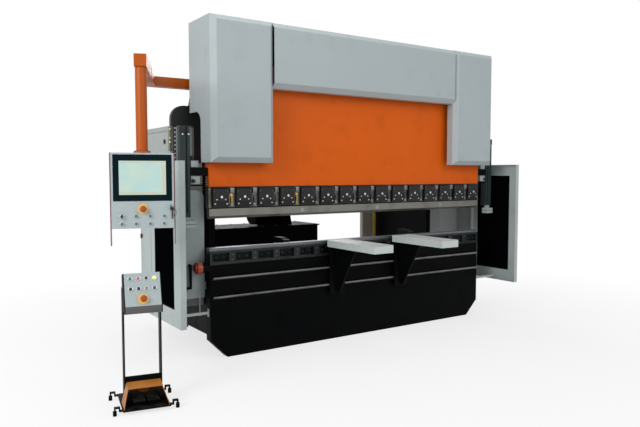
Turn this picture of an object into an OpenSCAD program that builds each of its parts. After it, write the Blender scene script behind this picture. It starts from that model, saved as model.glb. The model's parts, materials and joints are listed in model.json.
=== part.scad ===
// Hydraulic press brake: two C shaped side frames carry a fixed table and a
// moving ram, under grey covers, with guard doors, a back gauge, sheet support
// arms, a hanging control console and a foot pedal stand beside it.
// The origin is on the floor under the middle of the bending line. X runs along
// the table, Y towards the back and Z up.

/* [Bending line] */
// Length of the table, the ram and the tools
bend_len = 3100; // [3000:10:3200]
// Thickness of the table plate and of the ram plate
plate_t = 80; // [60:2:84]
// Height of the table plate's top edge
table_h = 770; // [740:5:800]
// Size of the cut at the table's two lower corners
table_chamfer = 150; // [80:10:200]
// Height of the die holder on the table
holder_h = 110; // [100:2:130]
// Front to back width of the die holder
holder_w = 90; // [80:2:100]
// Height of the die above its holder
die_h = 25; // [20:1:40]
// Front to back width of the die
die_w = 60; // [50:2:76]
// Width of the die's V groove
vee_w = 16; // [8:1:24]
// Gap from the die's top to the punch tip, ram fully up
daylight = 236; // [226:2:260]

/* [Ram] */
// Height of the punch that shows below the clamps
punch_h = 81; // [70:1:100]
// Height of the clamp row
clamp_row_h = 178; // [160:2:200]
// Distance from one clamp to the next
clamp_pitch = 208; // [196:1:212]
// Width of one clamp
clamp_w = 140; // [120:2:160]
// Thickness of a clamp plate
clamp_t = 32; // [20:1:40]
// Height of the ram's middle part
ram_mid_h = 1000; // [960:10:1040]
// Height of the ram's two shoulders, where the rods push
ram_shoulder_h = 400; // [380:5:420]
// Half width of the ram's raised middle part
ram_mid_x = 1080; // [1050:5:1100]
// Free length of the piston rods, ram fully up
rod_show = 190; // [180:2:200]
// Diameter of the piston rods
rod_d = 120; // [90:2:140]
// Outer diameter of the cylinders
cyl_d = 200; // [170:2:210]
// Free height between the cylinders and the covers' top
cyl_room = 134; // [100:2:200]

/* [Side frames] */
// Distance between the two side frames
frame_gap = 2550; // [2500:10:2600]
// Thickness of a side frame
frame_t = 60; // [50:2:70]
// Depth of the throat behind the bending line
throat_y = 454; // [420:2:500]
// Distance from the bending line to the back of the frames
frame_y = 1372; // [1340:2:1420]
// Radius of the throat's inner corners
throat_r = 120; // [60:5:160]
// Height of the frames behind the covers
frame_back_h = 1905; // [1880:5:1910]

/* [Covers] */
// Overall width of the covers
cover_w = 3180; // [3170:2:3200]
// Distance from the bending line to the covers' front
cover_front = 205; // [190:1:230]
// Distance from the bending line to the covers' back edge
cover_back = 240; // [226:1:250]
// Sheet thickness of the covers
cover_t = 4; // [2:0.5:6]
// Width of the bevel round the covers' front
cover_bevel = 42; // [20:1:60]
// Height of the side covers
leg_h = 1136; // [1120:2:1160]
// Half width of the middle cover
mid_x = 1034; // [1000:2:1040]
// Height of the middle cover
mid_h = 528; // [500:2:560]
// How far the middle cover stands back from the side covers
mid_back = 10; // [4:1:20]

/* [Guards] */
// Distance from the table's end to the outside of the guard doors
door_off = 350; // [340:2:380]
// Distance from the bending line to the doors' front edge
door_front = 295; // [280:2:320]
// Front to back length of a guard door
door_len = 625; // [600:2:640]
// Height of a guard door
door_h = 1258; // [1200:2:1300]
// Height of a guard door's bottom edge above the floor
door_z = 342; // [320:2:360]
// Depth of the doors' folded edges
door_fold = 45; // [30:1:55]
// Sheet thickness of the doors and panels
door_t = 3; // [2:0.5:4]
// Width of the door's frame round its window
door_rim = 130; // [100:2:150]
// Height of the cabinets' top above the floor
cabinet_h = 1918; // [1912:2:1940]
// Width of a side cabinet
cabinet_w = 295; // [280:1:300]

/* [Front supports] */
// Width of a sheet support arm
arm_w = 200; // [160:2:240]
// Length of a sheet support arm
arm_len = 670; // [600:5:720]
// Height of a sheet support arm
arm_h = 60; // [50:1:70]
// Place of the left arm's middle along the table
arm_left_x = -320; // [-360:5:-280]
// Place of the right arm's middle along the table
arm_right_x = 440; // [400:5:480]
// Distance from the table's top down to the upper front rail
rail_drop = 102; // [80:2:120]
// Distance from the upper front rail down to the lower one
rail_pitch = 156; // [140:2:170]
// Height of a front rail's bar
rail_h = 20; // [14:1:26]
// How far the front rails stand out
rail_out = 25; // [18:1:30]

/* [Back gauge] */
// Width of the back gauge's cross beam
gauge_len = 2240; // [2160:5:2300]
// Height of the cross beam's top above the table
gauge_rise = 42; // [30:2:50]
// Distance from the middle to each gauge guide
gauge_x = 1000; // [980:5:1020]
// Distance from the beam's left end to the left finger
finger_left_in = 350; // [330:5:380]
// Distance from the beam's right end to the right finger
finger_right_in = 420; // [390:5:450]
// Distance from the bending line to the finger tips
finger_tip = 60; // [54:1:70]

/* [Console] */
// Width of the console
console_w = 400; // [380:2:420]
// Height of the console
console_h = 500; // [480:2:520]
// Depth of the console
console_d = 100; // [80:2:120]
// Height of the console's bottom above the floor
console_z = 1141; // [1120:2:1160]
// Side of the square console arm
tube = 80; // [70:1:90]
// Height of the console arm's top
tube_top = 2286; // [2270:2:2300]
// Distance of the arm's cross tube behind the bending line
tube_y = 334; // [320:1:350]
// Diameter of the console's post
post_d = 76; // [60:1:78]
// Turn of the console towards the operator
console_turn = -18; // [-30:1:0]

/* [Foot pedal] */
// Width of the pedal stand
stand_w = 296; // [270:2:320]
// Depth of the pedal stand's base
stand_d = 350; // [330:2:370]
// Height of the pedal stand
stand_h = 866; // [840:2:900]
// Turn of the pedal stand
stand_turn = -10.9; // [-20:0.1:0]

/* [Hidden] */
$fn = 48;

// Running gap at guides, rods and bearings
run_gap = 0.3;
// Gap between pieces that move past each other
clear = 6;
// Depth by which a cut runs past the face that it opens
past = 1;

bend_x = bend_len / 2;
plate_y = plate_t / 2;
frame_in = frame_gap / 2;
frame_out = frame_in + frame_t;
cover_x = cover_w / 2;
door_x = bend_x + door_off;
door_in = door_x - door_fold;
hinge_y = door_len - door_front;

die_z0 = table_h + holder_h;
die_top = die_z0 + die_h;
tip_z = die_top + daylight;
punch_z1 = tip_z + punch_h;
ram_z0 = punch_z1 + clamp_row_h;
shoulder_z = ram_z0 + ram_shoulder_h;
cyl_z0 = shoulder_z + rod_show;
cyl_x = frame_in + frame_t / 2;
// Height of the orange strip that shows below the side covers
ram_strip = 192;
cover_z0 = ram_z0 + ram_strip;
cover_top = cover_z0 + leg_h;
rail_hi = table_h - rail_drop;
rail_lo = rail_hi - rail_pitch;
gauge_z = table_h + gauge_rise;
// Distance from the bending line to the covers' folded inner edges
cover_in = plate_y + 50;
// Side wall of a cover ends at this Y below the notch for the cable chain
notch_y = 20;
// Length of the laser columns above the ram's lower edge
column_rise = 477;
column_top = ram_z0 + column_rise;
notch_z = column_top + 123;
notch_r = 90;
// Front edges of the side frames, behind the rods and behind the cylinders
frame_lip_y = rod_d / 2 + clear;
step_back = 38;
step_y = frame_lip_y + step_back;

// Points of an arc round c, from angle a0 to a1 in n steps
function arc(c, r, a0, a1, n = 6) =
    [for (i = [0:n]) let (a = a0 + (a1 - a0) * i / n) [c[0] + r * cos(a), c[1] + r * sin(a)]];

// Outline of a rectangle with round corners
function round_rect(x0, x1, y0, y1, r) = concat(
    arc([x1 - r, y1 - r], r, 0, 90), arc([x0 + r, y1 - r], r, 90, 180),
    arc([x0 + r, y0 + r], r, 180, 270), arc([x1 - r, y0 + r], r, 270, 360));

// Block between two corners
module block(a, b) translate(a) cube([for (i = [0:2]) b[i] - a[i]]);

// Plate with its outline in Y and Z, from x0 to x1
module plate_yz(x0, x1, points)
    translate([x0, 0, 0]) rotate([90, 0, 90]) linear_extrude(x1 - x0) polygon(points);

// Plate with its outline in X and Z, from y0 to y1
module plate_xz(y0, y1, points)
    translate([0, y1, 0]) rotate([90, 0, 0]) linear_extrude(y1 - y0) polygon(points);

// Round bar along X
module bar_x(x0, x1, y, z, d) translate([x0, y, z]) rotate([0, 90, 0]) cylinder(d = d, h = x1 - x0);

// Round bar along Y
module bar_y(y0, y1, x, z, d) translate([x, y0, z]) rotate([-90, 0, 0]) cylinder(d = d, h = y1 - y0);

// Children as drawn for the right, or mirrored for the left
module on_side(side) mirror([side < 0 ? 1 : 0, 0, 0]) children();

// Children as drawn for the right, and mirrored for the left
module both_sides() for (side = [-1, 1]) on_side(side) children();

// Block whose front edges are bevelled, with one bevel for each edge
module bevelled(x0, x1, y0, y1, z0, z1, bevel, left = 1, right = 1, low = 1, high = 1)
    hull() {
        block([x0 + left * bevel, y0, z0 + low * bevel], [x1 - right * bevel, y1, z1 - high * bevel]);
        block([x0, y0 + bevel, z0], [x1, y1, z1]);
    }

// Side frames
frame_foot_z = 60;
frame_foot_y = 260;
throat_z0 = table_h - 70;
throat_z1 = ram_z0 + 240;
frame_slope_y0 = 600;
frame_slope_y1 = 1000;

module side_frames() color([0.05, 0.06, 0.06]) both_sides()
    plate_yz(frame_in, frame_out, concat(
        [[plate_y, 0], [plate_y, throat_z0]],
        arc([throat_y - throat_r, throat_z0 + throat_r], throat_r, -90, 0),
        arc([throat_y - throat_r, throat_z1 - throat_r], throat_r, 0, 90),
        [[frame_lip_y, throat_z1], [frame_lip_y, cyl_z0], [step_y, cyl_z0],
         [step_y, cover_top - cover_t], [frame_slope_y0, cover_top - cover_t],
         [frame_slope_y1, frame_back_h], [frame_y, frame_back_h], [frame_y, 0],
         [frame_y - frame_foot_y, 0], [frame_y - frame_foot_y - frame_foot_z, frame_foot_z],
         [plate_y + frame_foot_y + frame_foot_z, frame_foot_z], [plate_y + frame_foot_y, 0]]));

// Cross beams between the side frames
tie_t = 60;
tie_y = cover_back - 90;
tie_h = 304;

rear_tie_z0 = 120;
rear_tie_h = 200;
rear_tie_y = frame_y - 222;
rear_tie_t = 100;

module cross_ties() color([0.05, 0.06, 0.06]) {
    block([-frame_in, tie_y, cover_top - cover_t - tie_h], [frame_in, tie_y + tie_t, cover_top - cover_t]);
    block([-frame_in, rear_tie_y, rear_tie_z0],
          [frame_in, rear_tie_y + rear_tie_t, rear_tie_z0 + rear_tie_h]);
}

// Table
module table_plate() color([0.05, 0.06, 0.06])
    plate_xz(-plate_y, plate_y, [
        [-bend_x + table_chamfer, 0], [bend_x - table_chamfer, 0], [bend_x, table_chamfer],
        [bend_x, table_h], [-bend_x, table_h], [-bend_x, table_chamfer]]);

rail_end = 20;

module front_rails() color([0.3, 0.3, 0.29])
    for (z = [rail_lo, rail_hi])
        plate_yz(-bend_x + rail_end, bend_x - rail_end, [
            [-plate_y, z - rail_h], [-plate_y, z], [-plate_y - rail_out, z],
            [-plate_y - rail_out, z - rail_h / 2], [-plate_y - rail_out / 2, z - rail_h]]);

pocket_w = 150;
pocket_h = 76;
pocket_low = 18;
pocket_depth = 22;
tang_w = 13;
tang_h = 19;
clamp_count = floor((bend_len - clamp_w) / clamp_pitch + 0.001) + 1;
first_clamp = -(clamp_count - 1) * clamp_pitch / 2;

module die_holder() color([0.28, 0.28, 0.27])
    difference() {
        block([-bend_x, -holder_w / 2, table_h], [bend_x, holder_w / 2, die_z0]);
        block([-bend_x - past, -tang_w / 2 - run_gap, die_z0 - tang_h - run_gap],
              [bend_x + past, tang_w / 2 + run_gap, die_z0 + past]);
        for (i = [0:clamp_count - 1])
            translate([first_clamp + i * clamp_pitch, 0, table_h + pocket_low])
                block([-pocket_w / 2, -holder_w / 2 - past, 0],
                      [pocket_w / 2, -holder_w / 2 + pocket_depth, pocket_h]);
    }

module die() color([0.45, 0.45, 0.46])
    plate_yz(-bend_x, bend_x, [
        [-die_w / 2, die_z0], [-tang_w / 2, die_z0], [-tang_w / 2, die_z0 - tang_h],
        [tang_w / 2, die_z0 - tang_h], [tang_w / 2, die_z0], [die_w / 2, die_z0],
        [die_w / 2, die_top - 3], [die_w / 2 - 3, die_top], [vee_w / 2, die_top],
        [0, die_top - vee_w / 2], [-vee_w / 2, die_top], [-die_w / 2 + 3, die_top],
        [-die_w / 2, die_top - 3]]);

// Covers
module side_covers() color([0.64, 0.68, 0.68]) both_sides()
    difference() {
        bevelled(mid_x, cover_x, -cover_front, cover_back, cover_z0, cover_top, cover_bevel);
        bevelled(mid_x + cover_t, cover_x - cover_t, -cover_front + cover_t, cover_back + past,
                 cover_z0 + cover_t, cover_top - cover_t, cover_bevel);
        block([mid_x - past, -cover_in, cover_z0 - past],
              [cover_x - cover_t, cover_back + past, cover_z0 + cover_t + past]);
        block([mid_x - past, -cover_in, cover_z0 - past],
              [mid_x + cover_t + past, cover_back + past, cover_top - cover_t]);
        plate_yz(cover_x - cover_t - past, cover_x + past, concat(
            [[notch_y, cover_z0 - past]], arc([notch_y + notch_r, notch_z - notch_r], notch_r, 180, 90),
            [[cover_back + past, notch_z], [cover_back + past, cover_z0 - past]]));
    }

mid_z0 = cover_top - mid_h;

module middle_cover() color([0.62, 0.66, 0.66])
    difference() {
        bevelled(-mid_x, mid_x, -cover_front + mid_back, cover_back, mid_z0, cover_top, cover_bevel,
                 left = 0, right = 0);
        bevelled(-mid_x - past, mid_x + past, -cover_front + mid_back + cover_t, cover_back + past,
                 mid_z0 + cover_t, cover_top - cover_t, cover_bevel, left = 0, right = 0);
        block([-mid_x - past, -cover_in, mid_z0 - past],
              [mid_x + past, cover_back + past, mid_z0 + cover_t + past]);
    }

// Cabinets behind the doors, one on each frame's outer face
cabinet_y0 = 585;
cabinet_y1 = frame_y - 38;
cabinet_z0 = 320;
seam = 6;

module cabinets() color([0.55, 0.58, 0.57]) both_sides()
    difference() {
        block([frame_out, cabinet_y0, cabinet_z0], [frame_out + cabinet_w, cabinet_y1, cabinet_h]);
        for (y = [cabinet_y0 + 40, cabinet_y1 - 46])
            block([frame_out + cabinet_w - seam, y, cabinet_z0 + 40],
                  [frame_out + cabinet_w + past, y + seam, cabinet_h - 40]);
        for (z = [cabinet_z0 + 40, cabinet_h - 46])
            block([frame_out + cabinet_w - seam, cabinet_y0 + 40, z],
                  [frame_out + cabinet_w + past, cabinet_y1 - 40, z + seam]);
    }

// Fixed guard panel between the door's hinge and the cabinet
hinge_gap = 8;
hinge_r = 7;
hinge_out = hinge_r + 1;
hinge_h = 50;
leaf_w = 32;
leaf_t = 3;
panel_y0 = hinge_y + hinge_gap;
panel_lap = 30;

// Half of each of a door's two hinges: a barrel on the pin line and its leaf
module hinge_halves(leaf_y0, leaf_y1, lift)
    for (z = [door_z + 160, door_z + door_h - 160]) {
        translate([door_x + hinge_out, hinge_y + hinge_gap / 2, z + lift])
            cylinder(r = hinge_r, h = hinge_h - run_gap / 2);
        block([door_x, leaf_y0, z + lift],
              [door_x + leaf_t, leaf_y1, z + lift + hinge_h - run_gap / 2]);
    }

module side_panels() color([0.6, 0.64, 0.63]) both_sides() {
    difference() {
        block([frame_out + cabinet_w - panel_lap, panel_y0, door_z], [door_x, cabinet_y0, door_z + door_h]);
        block([frame_out + cabinet_w - panel_lap - past, panel_y0 - past, door_z - past],
              [door_in, cabinet_y0 - door_t, door_z + door_h + past]);
        block([door_in - past, panel_y0 + door_t, door_z + door_t],
              [door_x - door_t, cabinet_y0 - door_t, door_z + door_h - door_t]);
    }
    hinge_halves(hinge_y + hinge_gap / 2, panel_y0 + leaf_w, -hinge_h);
}

// Grey plate between the table's end and the door
end_plate_y = plate_y + 22;
end_plate_z0 = 496;
end_plate_z1 = ram_z0 - 31;
end_plate_r = 60;
// Distance from the table's end to the plate's inner edge
end_plate_gap = 2;
end_bracket_z = 560;
end_bracket_h = 60;
end_leg_x = 40;
end_leg_w = 12;
end_leg_h = 150;

module end_plate() color([0.6, 0.64, 0.63]) on_side(-1) {
    plate_xz(end_plate_y, end_plate_y + door_t, concat(
        [[door_in - clear, end_plate_z0], [door_in - clear, end_plate_z1]],
        arc([bend_x + end_plate_gap + end_plate_r, end_plate_z1 - end_plate_r], end_plate_r, 90, 180),
        [[bend_x + end_plate_gap, end_plate_z0]]));
    block([frame_out, end_plate_y + door_t, end_bracket_z],
          [bend_x + 80, end_plate_y + door_t + 20, end_bracket_z + end_bracket_h]);
    block([bend_x + end_leg_x, end_plate_y, end_plate_z0 - end_leg_h],
          [bend_x + end_leg_x + end_leg_w, end_plate_y + door_t, end_plate_z0]);
}

bar_z = door_z + 39;
bar_d = 24;
bar_y = -8;
bar_foot_t = 8;
bar_foot_h = 66;

module guard_bars() color([0.66, 0.69, 0.68])
    both_sides() {
        block([bend_x, bar_y - bar_d / 2, bar_z - bar_foot_h / 2],
              [bend_x + bar_foot_t, bar_y + bar_d / 2, bar_z + bar_foot_h / 2]);
        bar_x(bend_x + bar_foot_t, door_in - clear, bar_y, bar_z, bar_d);
    }

// Drive of the table's crowning wedges
drive_z = table_h - 21;
drive_foot_t = 26;
// Length and diameter of each step of the drive, from the table's end outwards
drive_steps = [[34, 84], [42, 92], [13, 66]];

module crowning_drive() color([0.75, 0.2, 0.08]) {
    for (i = [1:2]) {
        start = drive_foot_t + (i > 0 ? drive_steps[0][0] : 0) + (i > 1 ? drive_steps[1][0] : 0);
        bar_x(-bend_x - start - drive_steps[i][0], -bend_x - start, 0, drive_z, drive_steps[i][1]);
    }
}

conduit_d = 22;
conduit_x = bend_x + 136;
conduit_y = end_plate_y - 30;
conduit_z0 = drive_z - 160;
conduit_z1 = drive_z + 20;

// Black gearbox on the table's end, and the conduit beside it
module drive_gearbox() color([0.04, 0.05, 0.05]) on_side(-1) {
    block([bend_x, -plate_y, drive_z - drive_foot_t], [bend_x + drive_foot_t, plate_y, table_h]);
    bar_x(bend_x + drive_foot_t, bend_x + drive_foot_t + drive_steps[0][0], 0, drive_z, drive_steps[0][1]);
    bar_y(conduit_y, end_plate_y, conduit_x, conduit_z1, conduit_d);
    for (z = [conduit_z0, conduit_z1]) translate([conduit_x, conduit_y, z]) sphere(d = conduit_d);
    translate([conduit_x, conduit_y, conduit_z0]) cylinder(d = conduit_d, h = conduit_z1 - conduit_z0);
    bar_x(conduit_x, conduit_x + 60, conduit_y, conduit_z0, conduit_d);
}

// Cylinders, on the step of each side frame
flange_h = 50;
flange_w = 240;
cap_h = 40;
cap_d = cyl_d - 60;
cyl_z1 = cover_top - cover_t - cyl_room - cap_h;

module cylinders() color([0.12, 0.13, 0.13])
    both_sides()
        difference() {
            union() {
                block([cyl_x - flange_w / 2, -flange_w / 2, cyl_z0],
                      [cyl_x + flange_w / 2, step_y, cyl_z0 + flange_h]);
                translate([cyl_x, 0, cyl_z0 + flange_h]) cylinder(d = cyl_d, h = cyl_z1 - cyl_z0 - flange_h);
                translate([cyl_x, 0, cyl_z1]) cylinder(d = cap_d, h = cap_h);
            }
            translate([cyl_x, 0, cyl_z0 - past])
                cylinder(d = rod_d + 2 * run_gap, h = cyl_z1 - cyl_z0 - cap_h + past);
        }

// Oil tank and pump at the back
tank_y0 = 790;
tank_y1 = rear_tie_y + rear_tie_t;
tank_x1 = 69;
tank_z0 = rear_tie_z0 + rear_tie_h;
tank_z1 = 980;
lid_h = 12;
lid_lap = 14;
filler_x = -300;
filler_y = tank_y0 + 390;
filler_d = 80;
filler_h = 60;

module oil_tank() color([0.05, 0.05, 0.06]) {
    block([-frame_in, tank_y0 + lid_lap, tank_z0], [tank_x1 - lid_lap, tank_y1, tank_z1 - lid_h]);
    block([-frame_in, tank_y0, tank_z1 - lid_h], [tank_x1, tank_y1, tank_z1]);
    translate([filler_x, filler_y, tank_z1]) cylinder(d = filler_d * 0.7, h = filler_h / 3);
    translate([filler_x, filler_y, tank_z1 + filler_h / 3]) cylinder(d = filler_d, h = filler_h * 2 / 3);
}

motor_x0 = -600;
motor_x1 = -330;
motor_y = 930;
motor_d = 220;
motor_lift = 20;
motor_z = tank_z1 + motor_lift + motor_d / 2;
motor_foot_w = 140;
fan_len = 60;
fan_d = motor_d + 12;
terminal_w = 110;
terminal_h = 70;
pump_len = 110;
pump_w = 120;
pump_h = 200;

module pump_motor() color([0.1, 0.1, 0.1]) {
    bar_x(motor_x0, motor_x1, motor_y, motor_z, motor_d);
    bar_x(motor_x0 - fan_len, motor_x0, motor_y, motor_z, fan_d);
    block([motor_x0 + 40, motor_y - motor_foot_w / 2, tank_z1],
          [motor_x1 - 40, motor_y + motor_foot_w / 2, tank_z1 + motor_lift + 14]);
    block([motor_x0 + 60, motor_y + motor_d / 4, motor_z - terminal_h / 2],
          [motor_x0 + 60 + terminal_w, motor_y + motor_d / 2 + 50, motor_z + terminal_h / 2]);
    plate_xz(motor_y - pump_w / 2, motor_y + pump_w / 2, [
        [motor_x1, tank_z1], [motor_x1 + pump_len, tank_z1], [motor_x1 + pump_len - 40, tank_z1 + pump_h],
        [motor_x1, tank_z1 + pump_h]]);
}

// Rear guard posts with the light curtain beside them
post_x0 = frame_in - 218;
post_w = 155;
post_t = 50;
curtain_z0 = 420;
curtain_z1 = 1500;

module rear_posts() color([0.42, 0.4, 0.36])
    both_sides() {
        block([post_x0, frame_y - post_t, 0], [post_x0 + post_w, frame_y, cabinet_h]);
        for (z = [curtain_z0 + 20, curtain_z1 - 100])
            block([post_x0 + post_w, frame_y - 20, z], [frame_in, frame_y - 8, z + 80]);
        block([post_x0 + 40, rear_tie_y + rear_tie_t, rear_tie_z0 + 60],
              [post_x0 + 100, frame_y - post_t, rear_tie_z0 + 120]);
    }

module light_curtain() color([0.8, 0.72, 0.05])
    both_sides()
        upright_bar(post_x0 + post_w + 14, frame_y - 52, 34, 32, curtain_z0, curtain_z1);

// Upright bar with its front corners cut
module upright_bar(x, y, w, d, z0, z1)
    translate([x, y, z0]) linear_extrude(z1 - z0)
        polygon([[4, 0], [w - 4, 0], [w, 4], [w, d], [0, d], [0, 4]]);

// Back gauge guides, bolted to the table's back
guide_w = 60;
guide_z = gauge_z - 262;
guide_y1 = tank_y0 - 30;

module gauge_rails() color([0.3, 0.31, 0.32])
    for (x = [-gauge_x, gauge_x])
        difference() {
            union() {
                block([x - guide_w / 2, plate_y + 12, guide_z - 70], [x + guide_w / 2, guide_y1, guide_z]);
                block([x - guide_w, plate_y, guide_z - 110], [x + guide_w, plate_y + 12, guide_z + 20]);
            }
            for (side = [-1, 1])
                block([x + side * guide_w / 2 - 10, plate_y + 12 + past, guide_z - 40],
                      [x + side * guide_w / 2 + 10, guide_y1 + past, guide_z - 24]);
        }

carriage_y0 = 140;
carriage_len = 150;
mast_y = carriage_y0 + 105;
beam_y0 = carriage_y0 + 40;
beam_t = 65 - run_gap;
beam_h = 52;

module gauge_carriages() color([0.16, 0.17, 0.18])
    for (x = [-gauge_x, gauge_x]) {
        block([x - guide_w / 2 - 20, carriage_y0, guide_z + run_gap],
              [x + guide_w / 2 + 20, carriage_y0 + carriage_len, guide_z + 36]);
        block([x - guide_w / 2, mast_y, guide_z + 36], [x + guide_w / 2, mast_y + 30, gauge_z + 40]);
    }

module gauge_beam() color([0.35, 0.36, 0.37])
    difference() {
        block([-gauge_len / 2, beam_y0, gauge_z - beam_h], [gauge_len / 2, beam_y0 + beam_t, gauge_z]);
        block([-gauge_len / 2 - past, beam_y0 - past, gauge_z - beam_h / 2 - 6],
              [gauge_len / 2 + past, beam_y0 + 8, gauge_z - beam_h / 2 + 6]);
    }

finger_w = 56;
shoe_w = 100;
shoe_h = 50;
finger_top = die_top + 18;
// Height of the finger's front edge, and of the rest that carries the sheet behind it
finger_edge = 26;
rest_rise = 14;
// Back faces of the fingers, which pass in front of the masts
finger_back = mast_y - clear;

module finger(x) color([0.5, 0.52, 0.53]) translate([x, 0, 0]) {
    block([-shoe_w / 2, beam_y0, gauge_z + run_gap], [shoe_w / 2, finger_back, gauge_z + shoe_h]);
    plate_yz(-finger_w / 2, finger_w / 2, [
        [finger_back, gauge_z + run_gap], [beam_y0, gauge_z + run_gap],
        [beam_y0, gauge_z + shoe_h], [finger_tip + 40, gauge_z + shoe_h],
        [finger_tip + 20, finger_top - finger_edge - 4], [finger_tip, finger_top - finger_edge],
        [finger_tip, finger_top], [finger_tip + 36, finger_top], [finger_tip + 60, finger_top + rest_rise],
        [finger_back, finger_top + rest_rise]]);
}

module left_finger() finger(finger_left_in - gauge_len / 2);
module right_finger() finger(gauge_len / 2 - finger_right_in);

// Black arch behind the left cover that guides the cable chain, on a bracket from the side frame
arch_y0 = cover_back + 60;
arch_y1 = arch_y0 + 40;
arch_out = frame_out + 393;
arch_in = frame_out + 135;
arch_outer_leg = 77;
arch_inner_leg = 62;
arch_top = notch_z + 66;
arch_band = 164;
arch_r_out = 110;
arch_r_in = 90;
arch_corner_r = 24;
arch_bracket_h = 80;

module chain_arch() color([0.04, 0.04, 0.05]) on_side(-1) {
    plate_xz(arch_y0, arch_y1, concat(
        [[arch_out, arch_top - arch_band - clear]],
        arc([arch_out - arch_r_out, arch_top - arch_r_out], arch_r_out, 0, 90),
        arc([arch_in + arch_r_in, arch_top - arch_r_in], arch_r_in, 90, 180),
        [[arch_in, cover_z0], [arch_in + arch_inner_leg, cover_z0]],
        arc([arch_in + arch_inner_leg + arch_corner_r, arch_top - arch_band - arch_corner_r],
            arch_corner_r, 180, 90),
        [[arch_out - arch_outer_leg, arch_top - arch_band],
         [arch_out - arch_outer_leg, arch_top - arch_band - clear]]));
    block([frame_out, arch_y0, arch_top - arch_r_in - arch_bracket_h - 60],
          [arch_in, arch_y1, arch_top - arch_r_in - 60]);
}

chain_x = arch_out - 33;
chain_w = 34;
chain_t = 30;
chain_r = 45;
chain_y1 = arch_y1 - 5;
chain_z0 = ram_z0 + 90;
chain_z1 = arch_top - arch_band - clear;
chain_end = 160;

module drag_chain() color([0.06, 0.06, 0.07]) on_side(-1)
    plate_yz(chain_x - chain_w / 2, chain_x + chain_w / 2, concat(
        [[chain_y1, chain_z1]],
        arc([chain_y1 - chain_t - chain_r, chain_z0], chain_t + chain_r, 360, 180, 16),
        [[chain_y1 - 2 * (chain_t + chain_r), chain_z0 + chain_end],
         [chain_y1 - chain_t - 2 * chain_r, chain_z0 + chain_end]],
        arc([chain_y1 - chain_t - chain_r, chain_z0], chain_r, 180, 360, 16),
        [[chain_y1 - chain_t, chain_z1]]));

// Ram
module ram_plate() color([0.77, 0.33, 0.1])
    plate_xz(-plate_y, plate_y, concat(
        [[-bend_x, ram_z0], [bend_x, ram_z0], [bend_x, shoulder_z]],
        arc([ram_mid_x + 60, shoulder_z + 60], 60, 270, 180),
        [[ram_mid_x, ram_z0 + ram_mid_h], [-ram_mid_x, ram_z0 + ram_mid_h]],
        arc([-ram_mid_x - 60, shoulder_z + 60], 60, 0, -90),
        [[-bend_x, shoulder_z]]));

// Length of rod inside the cylinder, which leaves room for the piston's travel
rod_in = (cyl_z1 - cyl_z0) * 0.6;

module piston_rods() color([0.75, 0.76, 0.78])
    both_sides()
        translate([cyl_x, 0, shoulder_z]) cylinder(d = rod_d, h = rod_show + rod_in);

holder_y = 30;

module punch_holder() color([0.3, 0.3, 0.28])
    plate_yz(-bend_x, bend_x, [
        [-holder_y, ram_z0], [-holder_y, punch_z1 + 10], [-16, punch_z1], [holder_y - 8, punch_z1],
        [holder_y, punch_z1 + 10], [holder_y, ram_z0]]);

module clamps() color([0.05, 0.05, 0.05])
    for (i = [0:clamp_count - 1])
        translate([first_clamp + i * clamp_pitch, 0, 0])
            plate_yz(-clamp_w / 2, clamp_w / 2, [
                [-holder_y, punch_z1 + 12], [-holder_y, ram_z0 - 8],
                [-holder_y - clamp_t + 8, ram_z0 - 8], [-holder_y - clamp_t, ram_z0 - 18],
                [-holder_y - clamp_t, punch_z1 + 60], [-holder_y - clamp_t + 12, punch_z1 + 12]]);

module punch() color([0.33, 0.32, 0.3])
    plate_yz(-bend_x, bend_x, [
        [-holder_y - 8, punch_z1], [-holder_y - 8, tip_z + 22], [-3, tip_z], [3, tip_z],
        [14, tip_z + 30], [14, punch_z1]]);

// Brackets on the ram's two ends, with the columns of the laser guard
column_x0 = bend_x + 150;
column_w = 84;
column_y0 = -20;
column_d = 70;
column_z0 = tip_z + 20;

module guard_carriers() color([0.05, 0.05, 0.06])
    both_sides() {
        block([bend_x, column_y0, ram_z0 + 88], [column_x0, plate_y, ram_z0 + 153]);
        block([bend_x, column_y0 + 20, ram_z0 + 5], [bend_x + 14, plate_y, ram_z0 + 88]);
        block([bend_x + 14, column_y0 + 26, ram_z0 + 5], [column_x0, plate_y - 12, ram_z0 + 17]);
    }

module laser_columns() color([0.2, 0.22, 0.23])
    both_sides()
        difference() {
            block([column_x0, column_y0, column_z0],
                  [column_x0 + column_w, column_y0 + column_d, column_top]);
            block([column_x0 + 24, column_y0 - past, column_z0 + 40],
                  [column_x0 + 34, column_y0 + 12, column_top + past]);
        }

head_h = 56;
head_w = 96;
head_out = 40;
neck_h = 26;
neck_d = 24;

module laser_heads() color([0.7, 0.73, 0.73])
    both_sides() {
        block([column_x0 - 27, column_y0 - head_out, column_z0 - neck_h - head_h],
              [column_x0 - 27 + head_w, column_y0 + neck_d, column_z0 - neck_h]);
        block([column_x0 + 8, column_y0, column_z0 - neck_h],
              [column_x0 + 60, column_y0 + neck_d, column_z0]);
    }

// Guard doors
window_lap = 12;

module door_pan(side) color([0.66, 0.69, 0.68]) on_side(side) {
    difference() {
        block([door_in, -door_front, door_z], [door_x, hinge_y, door_z + door_h]);
        block([door_in - past, -door_front + door_t, door_z + door_t],
              [door_x - door_t, hinge_y - door_t, door_z + door_h - door_t]);
        block([door_in, -door_front + door_rim, door_z + door_rim],
              [door_x + past, hinge_y - door_rim + 50, door_z + door_h - door_rim]);
    }
    hinge_halves(hinge_y - leaf_w, hinge_y + hinge_gap / 2, run_gap / 2);
}

module door_window(side) color([0.05, 0.07, 0.07]) on_side(side)
    block([door_x - door_t - 5, -door_front + door_rim - window_lap, door_z + door_rim - window_lap],
          [door_x - door_t, hinge_y - door_rim + 50 + window_lap, door_z + door_h - door_rim + window_lap]);

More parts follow.
